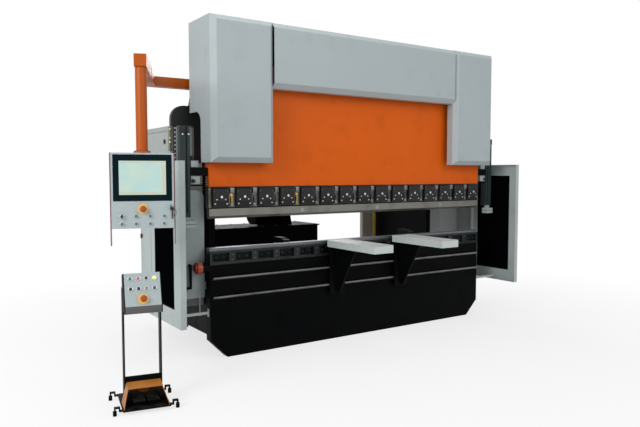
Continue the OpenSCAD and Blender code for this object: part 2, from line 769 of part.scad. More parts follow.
module left_door() door_pan(-1);
module right_door() door_pan(1);
module left_door_window() door_window(-1);
module right_door_window() door_window(1);

// Sheet support arms on the front rails
arm_z1 = die_top + 5;
arm_y1 = -holder_w / 2 - 17;
arm_t = 4;
ridge_w = 12;
ridge_h = 4;
carriage_w = 160;
bracket_y = -plate_y - rail_out - run_gap;
bracket_t = 18;

module support_arm(x) color([0.8, 0.83, 0.82]) translate([x, 0, 0])
    difference() {
        plate_xz(arm_y1 - arm_len, arm_y1, [
            [-arm_w / 2, arm_z1 - arm_h], [arm_w / 2, arm_z1 - arm_h], [arm_w / 2, arm_z1 + ridge_h],
            [arm_w / 2 - ridge_w, arm_z1 + ridge_h], [arm_w / 2 - ridge_w, arm_z1],
            [-arm_w / 2 + arm_t, arm_z1], [-arm_w / 2, arm_z1 - arm_t]]);
        block([-arm_w / 2 + arm_t, arm_y1 - arm_len + arm_t, arm_z1 - arm_h - past],
              [arm_w / 2 - arm_t, arm_y1 - arm_t, arm_z1 - arm_t]);
    }

bracket_z0 = rail_lo - rail_h - 70;
gusset_t = 14;
gusset_len = arm_len * 0.42;

// Carriage plate on the rails, with a gusset and a seat plate under the arm
module arm_bracket(x) color([0.05, 0.06, 0.06]) translate([x, 0, 0]) {
    block([-carriage_w / 2, bracket_y - bracket_t, bracket_z0], [carriage_w / 2, bracket_y, arm_z1 - arm_h]);
    plate_yz(-gusset_t / 2, gusset_t / 2, [
        [bracket_y - bracket_t, bracket_z0 + 10], [bracket_y - bracket_t - 30, bracket_z0 + 10],
        [arm_y1 - gusset_len, arm_z1 - arm_h - 30], [arm_y1 - gusset_len, arm_z1 - arm_h],
        [bracket_y - bracket_t, arm_z1 - arm_h]]);
    block([-arm_w / 2 + arm_t + run_gap, arm_y1 - gusset_len, arm_z1 - arm_h],
          [arm_w / 2 - arm_t - run_gap, arm_y1 - arm_t - run_gap, arm_z1 - arm_h + 6]);
}

module left_support_arm() support_arm(arm_left_x);
module right_support_arm() support_arm(arm_right_x);
module left_arm_bracket() arm_bracket(arm_left_x);
module right_arm_bracket() arm_bracket(arm_right_x);

// Console arm: a cross tube behind the cover and a tube forward to the post
corner_out = 335;
corner_x = -bend_x - corner_out;
arm_side = 369;
arm_reach = 874;
post_x = corner_x - arm_side;
post_y = tube_y - arm_reach;
tube_z0 = tube_top - tube;
arm_run = norm([post_x - corner_x, post_y - tube_y]);
arm_dir = atan2(post_y - tube_y, post_x - corner_x);
// Half of the tube's width, measured along the mitre of the welded corner
mitre = tube / 2 * tan(arm_dir / 2 + 90);

arm_end = arm_run + tube * 0.6;

// Point of the forward tube, along it and to its left
function on_arm(along, across) = [
    corner_x + along * cos(arm_dir) - across * sin(arm_dir),
    tube_y + along * sin(arm_dir) + across * cos(arm_dir)];

module console_arm() color([0.77, 0.33, 0.1])
    translate([0, 0, tube_z0]) linear_extrude(tube) polygon([
        [-frame_out, tube_y - tube / 2], [-frame_out, tube_y + tube / 2],
        [corner_x - mitre, tube_y + tube / 2], on_arm(arm_end, -tube / 2), on_arm(arm_end, tube / 2),
        [corner_x + mitre, tube_y - tube / 2]]);

post_flange_d = 110;
post_flange_t = 12;
console_z1 = console_z + console_h;

module console_post() color([0.77, 0.33, 0.1])
    translate([post_x, post_y, 0]) {
        translate([0, 0, console_z1]) cylinder(d = post_flange_d, h = post_flange_t);
        translate([0, 0, console_z1 + post_flange_t])
            cylinder(d = post_d, h = tube_z0 - console_z1 - post_flange_t - run_gap);
    }

// Console frame of reference, turned towards the operator
module at_console() translate([post_x, post_y, console_z]) rotate([0, 0, console_turn]) children();

bezel_h = 306;
bezel_z = 182;
bezel_t = 8;
cheek_t = 4;
cheek_drop = 112;

module console_box() color([0.72, 0.75, 0.75]) at_console()
    difference() {
        union() {
            block([-console_w / 2, -console_d / 2, 0], [console_w / 2, console_d / 2, console_h]);
            for (side = [-1, 1]) on_side(side)
                block([console_w / 2, -console_d / 2 + 8, -cheek_drop],
                      [console_w / 2 + cheek_t, -console_d / 2 + 38, console_h]);
        }
        block([-console_w / 2 + 12, -console_d / 2 - past, bezel_z],
              [console_w / 2 - 12, -console_d / 2 + bezel_t, bezel_z + bezel_h]);
    }

screen_w = 304;
screen_h = 228;

module console_screen() color([0.12, 0.17, 0.2]) at_console()
    difference() {
        block([-console_w / 2 + 12, -console_d / 2 - 2, bezel_z],
              [console_w / 2 - 12, -console_d / 2 + bezel_t, bezel_z + bezel_h]);
        block([-screen_w / 2, -console_d / 2 - 2 - past, bezel_z + bezel_h / 2 - screen_h / 2],
              [screen_w / 2, -console_d / 2 + 2, bezel_z + bezel_h / 2 + screen_h / 2]);
    }

button_d = 22;
button_pitch = 90;
estop_d = 40;

module console_controls() color([0.25, 0.3, 0.35]) at_console() {
    for (i = [0:3], z = [32, 82])
        translate([(i - 1.5) * button_pitch, -console_d / 2, z]) rotate([90, 0, 0])
            cylinder(d = button_d, h = 10);
    translate([0, -console_d / 2, 130]) rotate([90, 0, 0]) {
        cylinder(d = estop_d + 20, h = 3);
        translate([0, 0, 3]) cylinder(d = 24, h = 14);
        translate([0, 0, 17]) cylinder(d = estop_d, h = 12);
    }
}

// Foot pedal stand, turned towards the operator
stand_side = 105.5;
stand_front = 335.5;
stand_x = post_x - stand_side;
stand_y = post_y - stand_front;
foot_h = 24;
base_t = 8;
base_z1 = foot_h + base_t;
stand_post_x = 113;
stand_post_t = 8;
stand_post_w = 80;
stand_post_y = 170;
stand_post_drop = 100;
brace_z0 = 166;
brace_z1 = 192;
pedal_w = 76;
pedal_y = 120;
axle_z = base_z1 + 40;
axle_d = 18;
pedal_len = 94;
bearing_w = 12;
hook_w = 26;
hook_t = 8;
hook_out = 50;
pad_d = 24;
pad_h = 30;
bearing_y = 24;

module at_stand() translate([stand_x, stand_y, 0]) rotate([0, 0, stand_turn]) children();

// Hook of flat bar with a round rubber pad under its end
module stand_hook(y) {
    block([stand_w / 2, y, foot_h], [stand_w / 2 + 22, y + hook_w, base_z1]);
    block([stand_w / 2 + 22 - hook_t, y, base_z1], [stand_w / 2 + 22, y + hook_w, base_z1 + 22]);
    block([stand_w / 2 + 22, y, base_z1 + 22 - hook_t], [stand_w / 2 + hook_out, y + hook_w, base_z1 + 22]);
    block([stand_w / 2 + hook_out - hook_t, y, pad_h],
          [stand_w / 2 + hook_out, y + hook_w, base_z1 + 22 - hook_t]);
    translate([stand_w / 2 + hook_out - hook_t / 2, y + hook_w / 2, 0]) cylinder(d = pad_d, h = pad_h);
}

module stand_frame() color([0.05, 0.05, 0.05]) at_stand() {
    block([-stand_w / 2, 0, foot_h], [stand_w / 2, stand_d, base_z1]);
    for (x = [0, pedal_w + bearing_w, -pedal_w - bearing_w])
        block([x - bearing_w / 2, pedal_y - bearing_y / 2, base_z1],
              [x + bearing_w / 2, pedal_y + bearing_y / 2, axle_z + 14]);
    both_sides() {
        for (y = [18, stand_d - 32]) stand_hook(y);
        block([stand_post_x, stand_post_y, base_z1],
              [stand_post_x + stand_post_t, stand_post_y + stand_post_w, stand_h - stand_post_drop]);
    }
    block([-stand_post_x, stand_post_y + 10, brace_z0], [stand_post_x, stand_post_y + 18, brace_z1]);
}

box_h = 226;
box_z0 = stand_h - box_h - 24;
box_lip = 49;
box_front = stand_post_y - 76;

module stand_box() color([0.72, 0.75, 0.75]) at_stand()
    plate_yz(-stand_post_x, stand_post_x, [
        [stand_post_y - 10, box_z0], [box_front, box_z0], [box_front, box_z0 + box_lip],
        [stand_post_y - 6, stand_h], [stand_post_y + 60, stand_h - 20], [stand_post_y + 44, box_z0 + 20]]);

// Hood over the pedals: wide at the base, narrow and sloped at its roof, open at the front
hood_t = 3;
hood_foot_w = stand_w - 16;
hood_roof_w = 2 * stand_post_x - 10;
hood_y0 = 10;
hood_roof_y = 90;
hood_y1 = stand_post_y - 4;
hood_front_h = 108;
hood_back_h = 129;
hood_rim = 4;

function roof_z(y) = base_z1 + hood_front_h
    + (hood_back_h - hood_front_h) * (y - hood_roof_y) / (hood_y1 - hood_roof_y);

module hood_shape(wall, reach)
    hull() {
        block([-hood_foot_w / 2 + wall, hood_y0 - reach, base_z1 - (wall > 0 ? past : 0)],
              [hood_foot_w / 2 - wall, hood_y1 - wall, base_z1 + hood_rim]);
        plate_yz(-hood_roof_w / 2 + wall, hood_roof_w / 2 - wall, [
            [hood_roof_y - reach, roof_z(hood_roof_y - reach) - wall - hood_rim],
            [hood_y1 - wall, roof_z(hood_y1 - wall) - wall - hood_rim],
            [hood_y1 - wall, roof_z(hood_y1 - wall) - wall],
            [hood_roof_y - reach, roof_z(hood_roof_y - reach) - wall]]);
    }

module stand_hood() color([0.67, 0.4, 0.08]) at_stand()
    difference() {
        hood_shape(0, 0);
        hood_shape(hood_t, 20);
    }

module pedal(side) color([0.12, 0.12, 0.12]) at_stand()
    translate([side * (pedal_w + bearing_w) / 2, 0, 0]) {
        plate_yz(-pedal_w / 2 + run_gap, pedal_w / 2 - run_gap, [
            [pedal_y - pedal_len, axle_z - 4], [pedal_y - pedal_len, axle_z + 2], [pedal_y, axle_z + 8],
            [pedal_y, axle_z - 8]]);
        bar_x(-pedal_w / 2 + run_gap, pedal_w / 2 - run_gap, pedal_y, axle_z, axle_d);
    }

module left_pedal() pedal(-1);
module right_pedal() pedal(1);

side_frames();
cross_ties();
table_plate();
front_rails();
die_holder();
die();
side_covers();
middle_cover();
cabinets();
side_panels();
end_plate();
guard_bars();
crowning_drive();
drive_gearbox();
cylinders();
oil_tank();
pump_motor();
rear_posts();
light_curtain();
gauge_rails();
chain_arch();
drag_chain();
console_arm();
stand_frame();
stand_box();
stand_hood();
ram_plate();
piston_rods();
punch_holder();
clamps();
punch();
guard_carriers();
laser_columns();
laser_heads();
left_door();
left_door_window();
right_door();
right_door_window();
gauge_carriages();
gauge_beam();
left_finger();
right_finger();
left_support_arm();
left_arm_bracket();
right_support_arm();
right_arm_bracket();
console_post();
console_box();
console_screen();
console_controls();
left_pedal();
right_pedal();
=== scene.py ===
import json
import math

import bmesh
import bpy
from mathutils import Matrix, Vector


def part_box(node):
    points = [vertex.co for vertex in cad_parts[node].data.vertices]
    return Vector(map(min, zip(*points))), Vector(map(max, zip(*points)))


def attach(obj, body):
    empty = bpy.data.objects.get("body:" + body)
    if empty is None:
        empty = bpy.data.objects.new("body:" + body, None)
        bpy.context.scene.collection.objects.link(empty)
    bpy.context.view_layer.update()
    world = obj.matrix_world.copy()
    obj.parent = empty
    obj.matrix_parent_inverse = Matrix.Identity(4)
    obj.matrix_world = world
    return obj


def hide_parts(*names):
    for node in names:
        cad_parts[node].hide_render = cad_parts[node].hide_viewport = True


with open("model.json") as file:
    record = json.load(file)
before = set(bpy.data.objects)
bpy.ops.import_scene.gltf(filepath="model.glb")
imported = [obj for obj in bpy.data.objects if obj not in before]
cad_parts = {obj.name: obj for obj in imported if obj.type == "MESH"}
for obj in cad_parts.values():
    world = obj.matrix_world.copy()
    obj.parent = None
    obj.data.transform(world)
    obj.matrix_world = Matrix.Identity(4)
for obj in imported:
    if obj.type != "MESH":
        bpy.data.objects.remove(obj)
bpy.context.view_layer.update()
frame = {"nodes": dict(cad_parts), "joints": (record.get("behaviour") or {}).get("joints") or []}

# Camera
# The photograph was taken from the left of the press, at eye height and a little turned down. Its
# place and lens come from the two vanishing points of the covers and the table.
eye = (-3.651, -4.716, 1.501)
turn_to_right = math.radians(34.1)
turn_down = math.radians(3.56)
camera_data = bpy.data.cameras.new("camera")
camera_data.sensor_width = 36
camera_data.lens = 35.69
camera_data.clip_end = 100
camera = bpy.data.objects.new("camera", camera_data)
camera.location = eye
camera.rotation_euler = (math.pi / 2 - turn_down, 0, -turn_to_right)
bpy.context.scene.collection.objects.link(camera)
bpy.context.scene.camera = camera


# Side frames and cross ties
# Flame cut steel plates, welded and bolted into one stand, and sprayed satin black. The lower cross
# tie is held by hex bolts through each side frame.
class Value:
    """A socket of a shader's nodes that takes part in Python's sums."""

    def __init__(self, nodes, socket):
        self.nodes = nodes
        self.socket = socket

    def calculate(self, operation, first, second):
        return self.nodes.node("Math", {"operation": operation}, {0: first, 1: second})

    def __add__(self, other):
        return self.calculate("ADD", self, other)

    def __radd__(self, other):
        return self.calculate("ADD", other, self)

    def __sub__(self, other):
        return self.calculate("SUBTRACT", self, other)

    def __rsub__(self, other):
        return self.calculate("SUBTRACT", other, self)

    def __mul__(self, other):
        return self.calculate("MULTIPLY", self, other)

    def __rmul__(self, other):
        return self.calculate("MULTIPLY", other, self)

    def between(self, low, high):
        """0 at low and under it, 1 at high and above it."""
        sockets = {"Value": self, "From Min": low, "From Max": high}
        return self.nodes.node("MapRange", {"interpolation_type": "SMOOTHSTEP"}, sockets)


class Nodes:
    """A shader's nodes, added one by one."""

    def __init__(self, tree):
        self.tree = tree

    def connect(self, socket, value):
        if isinstance(value, Value):
            self.tree.links.new(value.socket, socket)
        else:
            socket.default_value = value

    def node(self, kind, settings=None, sockets=None, output=0):
        made = self.tree.nodes.new("ShaderNode" + kind)
        for key, value in (settings or {}).items():
            setattr(made, key, value)
        for key, value in (sockets or {}).items():
            self.connect(made.inputs[key], value)
        return Value(self, made.outputs[output])


class Finish(Nodes):
    """A material, with the patterns that its finish is made of."""

    def __init__(self, name, uniform=None):
        self.material = bpy.data.materials.new(name)
        self.material.use_nodes = True
        super().__init__(self.material.node_tree)
        self.shader = self.tree.nodes["Principled BSDF"]
        for key, value in (uniform or {}).items():
            self.set(key, value)

    def set(self, socket, value):
        self.connect(self.shader.inputs[socket], value)

    def place(self, stretch=(1, 1, 1)):
        here = self.node("TexCoord", output="Object")
        return self.node("Mapping", {}, {"Vector": here, "Scale": stretch})

    def noise(self, size, detail=3, stretch=(1, 1, 1)):
        sockets = {"Vector": self.place(stretch), "Scale": 1 / size, "Detail": detail}
        return self.node("TexNoise", {}, sockets)

    def mix(self, share, tint, other):
        sockets = {0: share, 6: tint, 7: other}
        return self.node("Mix", {"data_type": "RGBA"}, sockets, output=2)

    def shade(self, tint, factor):
        """The colour made darker or lighter by a value."""
        grey = self.node("CombineColor", {}, {0: factor, 1: factor, 2: factor})
        sockets = {0: 1.0, 6: tint, 7: grey}
        return self.node("Mix", {"data_type": "RGBA", "blend_type": "MULTIPLY"}, sockets, output=2)

    def mottle(self, tint, amount, size, detail=3, stretch=(1, 1, 1)):
        """Sets the colour, darker and lighter by half that amount in patches of that size."""
        patches = self.noise(size, detail, stretch)
        self.set("Base Color", self.shade(tint, 1 - amount / 2 + amount * patches))

    def rounded(self, radius):
        return self.node("Bevel", {"samples": 4}, {"Radius": radius})

    def edges(self, radius):
        """0 on a flat face, 1 on a sharp edge."""
        sockets = {0: self.rounded(radius), 1: self.node("NewGeometry", output="Normal")}
        along = self.node("VectorMath", {"operation": "DOT_PRODUCT"}, sockets, output="Value")
        return (1 - along).between(0.01, 0.2)

    def bump(self, height, strength, distance, normal):
        sockets = {"Height": height, "Strength": strength, "Distance": distance, "Normal": normal}
        self.set("Normal", self.node("Bump", {}, sockets))


def colour(red, green, blue):
    """A colour as a screen shows it, 0 to 255, for a shader."""
    return tuple(
        shown / 12.92 if shown <= 0.04045 else ((shown + 0.055) / 1.055) ** 2.4
        for shown in (red / 255, green / 255, blue / 255)
    ) + (1.0,)


def painted(name, tint, gloss=0.4, grime=0.2, chips=0.15, under=colour(120, 118, 112), dust=0.0,
            soft=0.0016, shine=0.4):
    """Sprayed paint: a fine orange peel, soft smears, chipped edges and dust on what faces up."""
    finish = Finish(name, {"Specular IOR Level": shine})
    tone = 0.93 + 0.14 * finish.noise(0.8, 4)
    smear = finish.noise(0.16, 6).between(0.5, 0.8)
    base = finish.shade(tint, tone - smear * grime)
    if dust:
        up = finish.node("SeparateXYZ", {}, {0: finish.node("NewGeometry", output="Normal")}, output="Z")
        settled = up.between(0.6, 1.0) * finish.noise(0.05, 5).between(0.25, 0.75) * dust
        base = finish.mix(settled, base, colour(150, 146, 138))
    worn = finish.edges(soft * 1.5) * finish.noise(0.03, 5).between(0.62, 0.72) * chips
    finish.tint = finish.mix(worn, base, under)
    finish.set("Base Color", finish.tint)
    finish.set("Roughness", gloss + 0.16 * smear + 0.08 * finish.noise(0.02, 3))
    finish.bump(finish.noise(0.004, 2), 0.06, 0.0006, finish.rounded(soft))
    return finish


def wear(node, finish):
    """Gives a CAD node its material."""
    slots = frame["nodes"][node].material_slots
    if not slots:
        frame["nodes"][node].data.materials.append(finish.material)
    for slot in slots:
        slot.material = finish.material


def add_block(mesh, low, high, rounding=0.0, segments=2):
    """A block between two corners; its edges may be rounded."""
    low, high = Vector(low), Vector(high)
    place = Matrix.Translation((low + high) / 2) @ Matrix.Diagonal((*(high - low), 1))
    made = bmesh.ops.create_cube(mesh, size=1, matrix=place)["verts"]
    if rounding:
        edges = list({edge for vert in made for edge in vert.link_edges})
        bmesh.ops.bevel(mesh, geom=edges, offset=rounding, segments=segments, profile=0.5,
                        affect="EDGES", material=-1, clamp_overlap=True)


def add_rod(mesh, start, end, radius, end_radius=None, sides=24, rounding=0.0):
    """A round rod or cone; its rims may be rounded. Returns its face at the end, in a list."""
    start, end = Vector(start), Vector(end)
    along = end - start
    turn = Vector((0, 0, 1)).rotation_difference(along.normalized()).to_matrix().to_4x4()
    place = Matrix.Translation((start + end) / 2) @ turn
    made = bmesh.ops.create_cone(mesh, cap_ends=True, segments=sides, radius1=radius,
                                 radius2=radius if end_radius is None else end_radius,
                                 depth=along.length, matrix=place)["verts"]
    if rounding:
        rims = {edge for vert in made for edge in vert.link_edges
                if any(len(face.verts) > 4 for face in edge.link_faces)}
        bmesh.ops.bevel(mesh, geom=list(rims), offset=rounding, segments=2, profile=0.5,
                        affect="EDGES", material=-1, clamp_overlap=True)
    mesh.faces.ensure_lookup_table()
    newest = mesh.faces[-3 * sides - 2:]
    caps = [face for face in newest if len(face.verts) == sides
            and (face.calc_center_median() - end).length < radius * 0.01 + 1e-6]
    for face in caps:
        if face.normal.dot(along) < 0:
            face.normal_flip()
    return caps


def add_hex_bolt(mesh, seat, direction, size):
    """A hex head of that radius on its washer."""
    seat, direction = Vector(seat), Vector(direction).normalized()
    washer_foot = seat - direction * size * 0.1
    washer_top = seat + direction * size * 0.22
    head_top = washer_top + direction * size * 0.75
    add_rod(mesh, washer_foot, washer_top, size * 1.2, sides=20, rounding=size * 0.06)
    add_rod(mesh, washer_top, head_top, size, sides=6, rounding=size * 0.1)


def add_socket_screw(mesh, seat, direction, size, height):
    """A round screw head of that radius with its sunk socket."""
    seat, direction = Vector(seat), Vector(direction).normalized()
    foot = seat - direction * size * 0.1
    top = add_rod(mesh, foot, seat + direction * height, size, sides=18, rounding=size * 0.12)
    bmesh.ops.inset_individual(mesh, faces=top, thickness=size * 0.38, depth=0)
    bmesh.ops.inset_individual(mesh, faces=top, thickness=size * 0.02, depth=-height * 0.6)


sharp_angle = math.radians(35)


def finished(name, mesh, body, finish, place=None):
    """Makes an object of the mesh, at the origin, that rides on a body."""
    if place is not None:
        bmesh.ops.transform(mesh, matrix=place, verts=mesh.verts)
    bmesh.ops.remove_doubles(mesh, verts=mesh.verts, dist=1e-6)
    bmesh.ops.recalc_face_normals(mesh, faces=mesh.faces)
    data = bpy.data.meshes.new(name)
    mesh.to_mesh(data)
    mesh.free()
    data.polygons.foreach_set("use_smooth", [True] * len(data.polygons))
    data.set_sharp_from_angle(angle=sharp_angle)
    data.materials.append(finish.material)
    piece = bpy.data.objects.new(name, data)
    bpy.context.scene.collection.objects.link(piece)
    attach(piece, body)
    return piece


bare_black = colour(60, 60, 60)
black_paint = painted("satin black paint", colour(7, 8, 9), gloss=0.46, grime=0.25, chips=0.2, dust=0.05,
                      under=bare_black, shine=0.05)
wear("side_frames", black_paint)
wear("cross_ties", black_paint)


def machined(name, tint, gloss=0.35, grain=(1, 1, 1), oil=0.35, soft=0.0008):
    """Bare steel with the cutter's or grinder's streaks, oil films and bright edges."""
    finish = Finish(name, {"Metallic": 1.0})
    streaks = finish.noise(0.02, 4, grain)
    film = finish.noise(0.14, 5).between(0.45, 0.75)
    base = finish.shade(tint, 0.82 + 0.36 * streaks - film * oil)
    base = finish.mix(finish.edges(soft * 1.6) * 0.5, base, colour(190, 188, 182))
    finish.set("Base Color", base)
    finish.set("Roughness", gloss + 0.2 * streaks - film * 0.1)
    finish.bump(streaks, 0.12, 0.0004, finish.rounded(soft))
    return finish


bolt_steel = machined("blackened bolt steel", colour(88, 88, 90), gloss=0.34, oil=0.3)
bright_steel = machined("bright zinc plated steel", colour(205, 205, 203), gloss=0.24, oil=0.12)
frames_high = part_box("side_frames")[1]
big_bolt = 0.016
tie_bolt_backs = (0.125, 0.195)
tie_bolt_heights = (0.15, 0.29)
tie_bolts = bmesh.new()
for side in (-1, 1):
    for back in tie_bolt_backs:
        for height in tie_bolt_heights:
            seat = (side * frames_high.x, frames_high.y - back, height)
            add_hex_bolt(tie_bolts, seat, (side, 0, 0), big_bolt)
finished("tie_bolts", tie_bolts, "machine", bolt_steel)

# Table
# One thick plate with its lower corners cut off, and two milled rails across its front that carry
# the sheet support arms. Each rail is held by a row of socket screws.
table_paint = painted("table black paint", colour(6, 7, 8), gloss=0.44, grime=0.3, chips=0.25, dust=0.05,
                      under=bare_black, shine=0.03)
wear("table_plate", table_paint)
rail_steel = machined("milled rail steel", colour(124, 124, 121), gloss=0.42, grain=(1, 14, 14), oil=0.4)
wear("front_rails", rail_steel)
rail_low, rail_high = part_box("front_rails")
to_front = (0, -1, 0)
rail_pitch = 0.156
rail_screw_count = 16
rail_screw_inset = 0.03
rail_screw_drop = 0.005
screw_run = rail_high.x - rail_low.x - 2 * rail_screw_inset
rail_screws = bmesh.new()
for top in (rail_high.z, rail_high.z - rail_pitch):
    for step in range(rail_screw_count):
        across = rail_low.x + rail_screw_inset + step * screw_run / (rail_screw_count - 1)
        seat = (across, rail_low.y, top - rail_screw_drop)
        add_socket_screw(rail_screws, seat, to_front, size=0.0036, height=0.0005)
finished("rail_screws", rail_screws, "machine", bolt_steel)

# Die holder and die
# The holder is a blackened bar with a window at each clamp, where the crowning wedges sit. The
# ground V die lies in the groove of its top.
holder_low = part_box("die_holder")[0]
holder_steel = machined("blackened holder steel", colour(48, 51, 50), gloss=0.4, grain=(1, 10, 10), oil=0.45)
wear("die_holder", holder_steel)
die_steel = machined("ground die steel", colour(102, 106, 110), gloss=0.3, grain=(1, 26, 26), oil=0.25)
wear("die", die_steel)
clamp_pitch = 0.208
clamp_count = 15
clamp_places = [(step - (clamp_count - 1) / 2) * clamp_pitch for step in range(clamp_count)]
gap_places = [place + clamp_pitch / 2 for place in clamp_places[:-1]]
wedge_screws = bmesh.new()
for across in gap_places:
    for height, size, head in ((0.075, 0.007, 0.003), (0.035, 0.005, 0.002)):
        add_socket_screw(wedge_screws, (across, holder_low.y, holder_low.z + height), to_front, size, head)
finished("wedge_screws", wedge_screws, "machine", bolt_steel)
wedge_steel = machined("hardened wedge steel", colour(18, 23, 23), gloss=0.3, grain=(1, 6, 6), oil=0.3)
window_back = holder_low.y + 0.022
wedge_face = window_back - 0.008
wedge_foot = holder_low.z + 0.026
wedge_top = holder_low.z + 0.086
wedge_length = 0.066
wedge_screw_x = 0.034
wedges = bmesh.new()
for across in clamp_places:
    for side in (-1, 1):
        near, far = sorted((across, across + side * wedge_length))
        add_block(wedges, (near, wedge_face, wedge_foot), (far, window_back, wedge_top), rounding=0.003)
        seat = (across + side * wedge_screw_x, wedge_face, (wedge_foot + wedge_top) / 2)
        add_socket_screw(wedges, seat, to_front, size=0.009, height=0.006)
finished("crowning_wedges", wedges, "machine", wedge_steel)


# Ends of the table
# A grey sheet plate closes the space between the table's left end and the guard door, and bars keep
# hands out below it. The crowning drive is bolted on that end, with its gearbox and a conduit.
def points_around(count, radius):
    """Places on a circle, the first one half a step on."""
    turns = [math.tau * (step + 0.5) / count for step in range(count)]
    return [(radius * math.cos(turn), radius * math.sin(turn)) for turn in turns]


guard_paint = painted("light grey guard paint", colour(166, 176, 176), gloss=0.42, grime=0.1, chips=0.2)
end_paint = painted("end plate grey paint", colour(138, 148, 148), gloss=0.42, grime=0.15, chips=0.2)
wear("end_plate", end_paint)
wear("guard_bars", guard_paint)
drive_paint = painted("orange red drive paint", colour(160, 54, 20), gloss=0.3, grime=0.15, chips=0.3)
wear("crowning_drive", drive_paint)
wear("drive_gearbox", black_paint)
rubber = Finish("black rubber", {"Specular IOR Level": 0.35})
rubber.mottle(colour(26, 27, 29), 0.4, 0.05, 4)
rubber.set("Roughness", 0.55 + 0.2 * rubber.noise(0.02, 3))
rubber.bump(rubber.noise(0.002, 2), 0.1, 0.0004, rubber.rounded(0.001))
drive_face_x = -1.6525
drive_z = 0.749
drive_bolts = bmesh.new()
for back, height in points_around(6, 0.0395):
    seat = (drive_face_x, back, drive_z + height)
    add_socket_screw(drive_bolts, seat, (-1, 0, 0), size=0.0035, height=0.003)
finished("drive_bolts", drive_bolts, "machine", bolt_steel)

# Covers
# Folded steel sheet with wide bevels, powder coated light grey. They hide the cylinders and the
# valves, and hang on the side frames by socket screws.
cover_paint = painted("grey powder coat", colour(164, 174, 176), gloss=0.5, grime=0.05, chips=0.08,
                      soft=0.003)
wear("side_covers", cover_paint)
wear("middle_cover", cover_paint)
cover_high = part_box("side_covers")[1]
cover_screw_y = 0.2
cover_screws = bmesh.new()
for side in (-1, 1):
    for height in (2.09, 2.38, 2.66):
        seat = (side * cover_high.x, cover_screw_y, height)
        add_socket_screw(cover_screws, seat, (side, 0, 0), size=0.006, height=0.002)
finished("cover_screws", cover_screws, "machine", bright_steel)

# Cylinders and piston rods
# Two hydraulic cylinders stand on the steps of the side frames, each held by four bolts, and push
# the ram's shoulders down with hard chromed rods.
wear("cylinders", painted("cylinder black paint", colour(34, 35, 36), gloss=0.4, grime=0.3, dust=0.2))
chrome = Finish("hard chrome", {"Metallic": 1.0})
chrome.mottle(colour(205, 207, 210), 0.2, 0.3, 3, (1, 1, 8))
chrome.set("Roughness", 0.08 + 0.1 * chrome.noise(0.05, 4).between(0.4, 0.8))
wear("piston_rods", chrome)
cylinder_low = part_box("cylinders")[0]
frame_inner_x = 1.275
cylinder_x = (frames_high.x + frame_inner_x) / 2
flange_bolt_x = 0.092
flange_bolt_backs = (-0.092, 0.08)
flange_top = cylinder_low.z + 0.05
cylinder_bolts = bmesh.new()
for side in (-1, 1):
    for back in flange_bolt_backs:
        for across in (-flange_bolt_x, flange_bolt_x):
            seat = (side * cylinder_x + across, back, flange_top)
            add_hex_bolt(cylinder_bolts, seat, (0, 0, 1), big_bolt)
finished("cylinder_bolts", cylinder_bolts, "machine", bolt_steel)

# Ram
# A thick plate painted orange that slides down in front of the side frames. The punch holder bolted on
# at its lower edge is bare and oiled, and a thin black strip under that edge is painted shadow of the gap.
ram_low, ram_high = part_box("ram_plate")
bare_orange = colour(70, 60, 52)
ram_paint = painted("orange ram paint", colour(210, 90, 8), gloss=0.38, grime=0.14, chips=0.3,
                    under=bare_orange, shine=0.15)
wear("ram_plate", ram_paint)
oiled_steel = machined("oiled punch holder steel", colour(116, 116, 110), gloss=0.38, grain=(1, 10, 10),
                       oil=0.4)
wear("punch_holder", oiled_steel)
punch_steel = machined("ground punch steel", colour(118, 116, 110), gloss=0.4, grain=(1, 22, 22), oil=0.25)
wear("punch", punch_steel)

# Clamps
# Black clamp plates at 208 mm pitch press the punch against its holder. Each has one large bright
# screw, four small ones in an arc under it and two grub screws. Adjusting wedges sit between them.
clamp_black = painted("black oxide clamp steel", colour(12, 13, 15), gloss=0.4, grime=0.3, chips=0.2,
                      under=colour(70, 70, 70), soft=0.0008, shine=0.3)
wear("clamps", clamp_black)
clamp_low, clamp_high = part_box("clamps")
slope_depth = 0.012
slope_height = 0.048
up_slope = 0.6
big_screw_x = 0.003
big_screw_z = clamp_low.z + 0.082
arc_screw_x = 0.038
arc_screw_z = clamp_low.z + 0.062
slope_screw_x = 0.052
slope_screw_y = clamp_low.y + slope_depth * (1 - up_slope)
slope_screw_z = clamp_low.z + slope_height * up_slope
grub_screw_x = 0.058
grub_screw_z = clamp_high.z - 0.03
clamp_screws = bmesh.new()
grub_screws = bmesh.new()
for across in clamp_places:
    seat = (across + big_screw_x, clamp_low.y, big_screw_z)
    add_socket_screw(clamp_screws, seat, to_front, size=0.0105, height=0.007)
    for side in (-1, 1):
        seat = (across + side * slope_screw_x, slope_screw_y, slope_screw_z)
        add_socket_screw(clamp_screws, seat, (0, -0.97, -0.24), size=0.0065, height=0.006)
        seat = (across + side * arc_screw_x, clamp_low.y, arc_screw_z)
        add_socket_screw(clamp_screws, seat, to_front, size=0.005, height=0.002)
        seat = (across + side * grub_screw_x, clamp_low.y, grub_screw_z)
        add_socket_screw(grub_screws, seat, to_front, size=0.0045, height=0.001)
finished("clamp_screws", clamp_screws, "ram", bright_steel)
finished("grub_screws", grub_screws, "ram", bolt_steel)
holder_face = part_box("punch_holder")[0].y
upper_wedge_half = 0.019
upper_wedge_y = holder_face - 0.024
upper_wedge_heights = (clamp_high.z - 0.045, clamp_high.z - 0.002)
lower_wedge_half = 0.015
lower_wedge_y = holder_face - 0.016
lower_wedge_heights = (clamp_low.z + 0.002, clamp_low.z + 0.03)
nut_z = clamp_low.z + 0.092
spindle_y = holder_face - 0.009
spindle_top = clamp_low.z + 0.078
brass_gaps = (0, 3)
wedge_blocks = bmesh.new()
wedge_nuts = bmesh.new()
brass_nuts = bmesh.new()
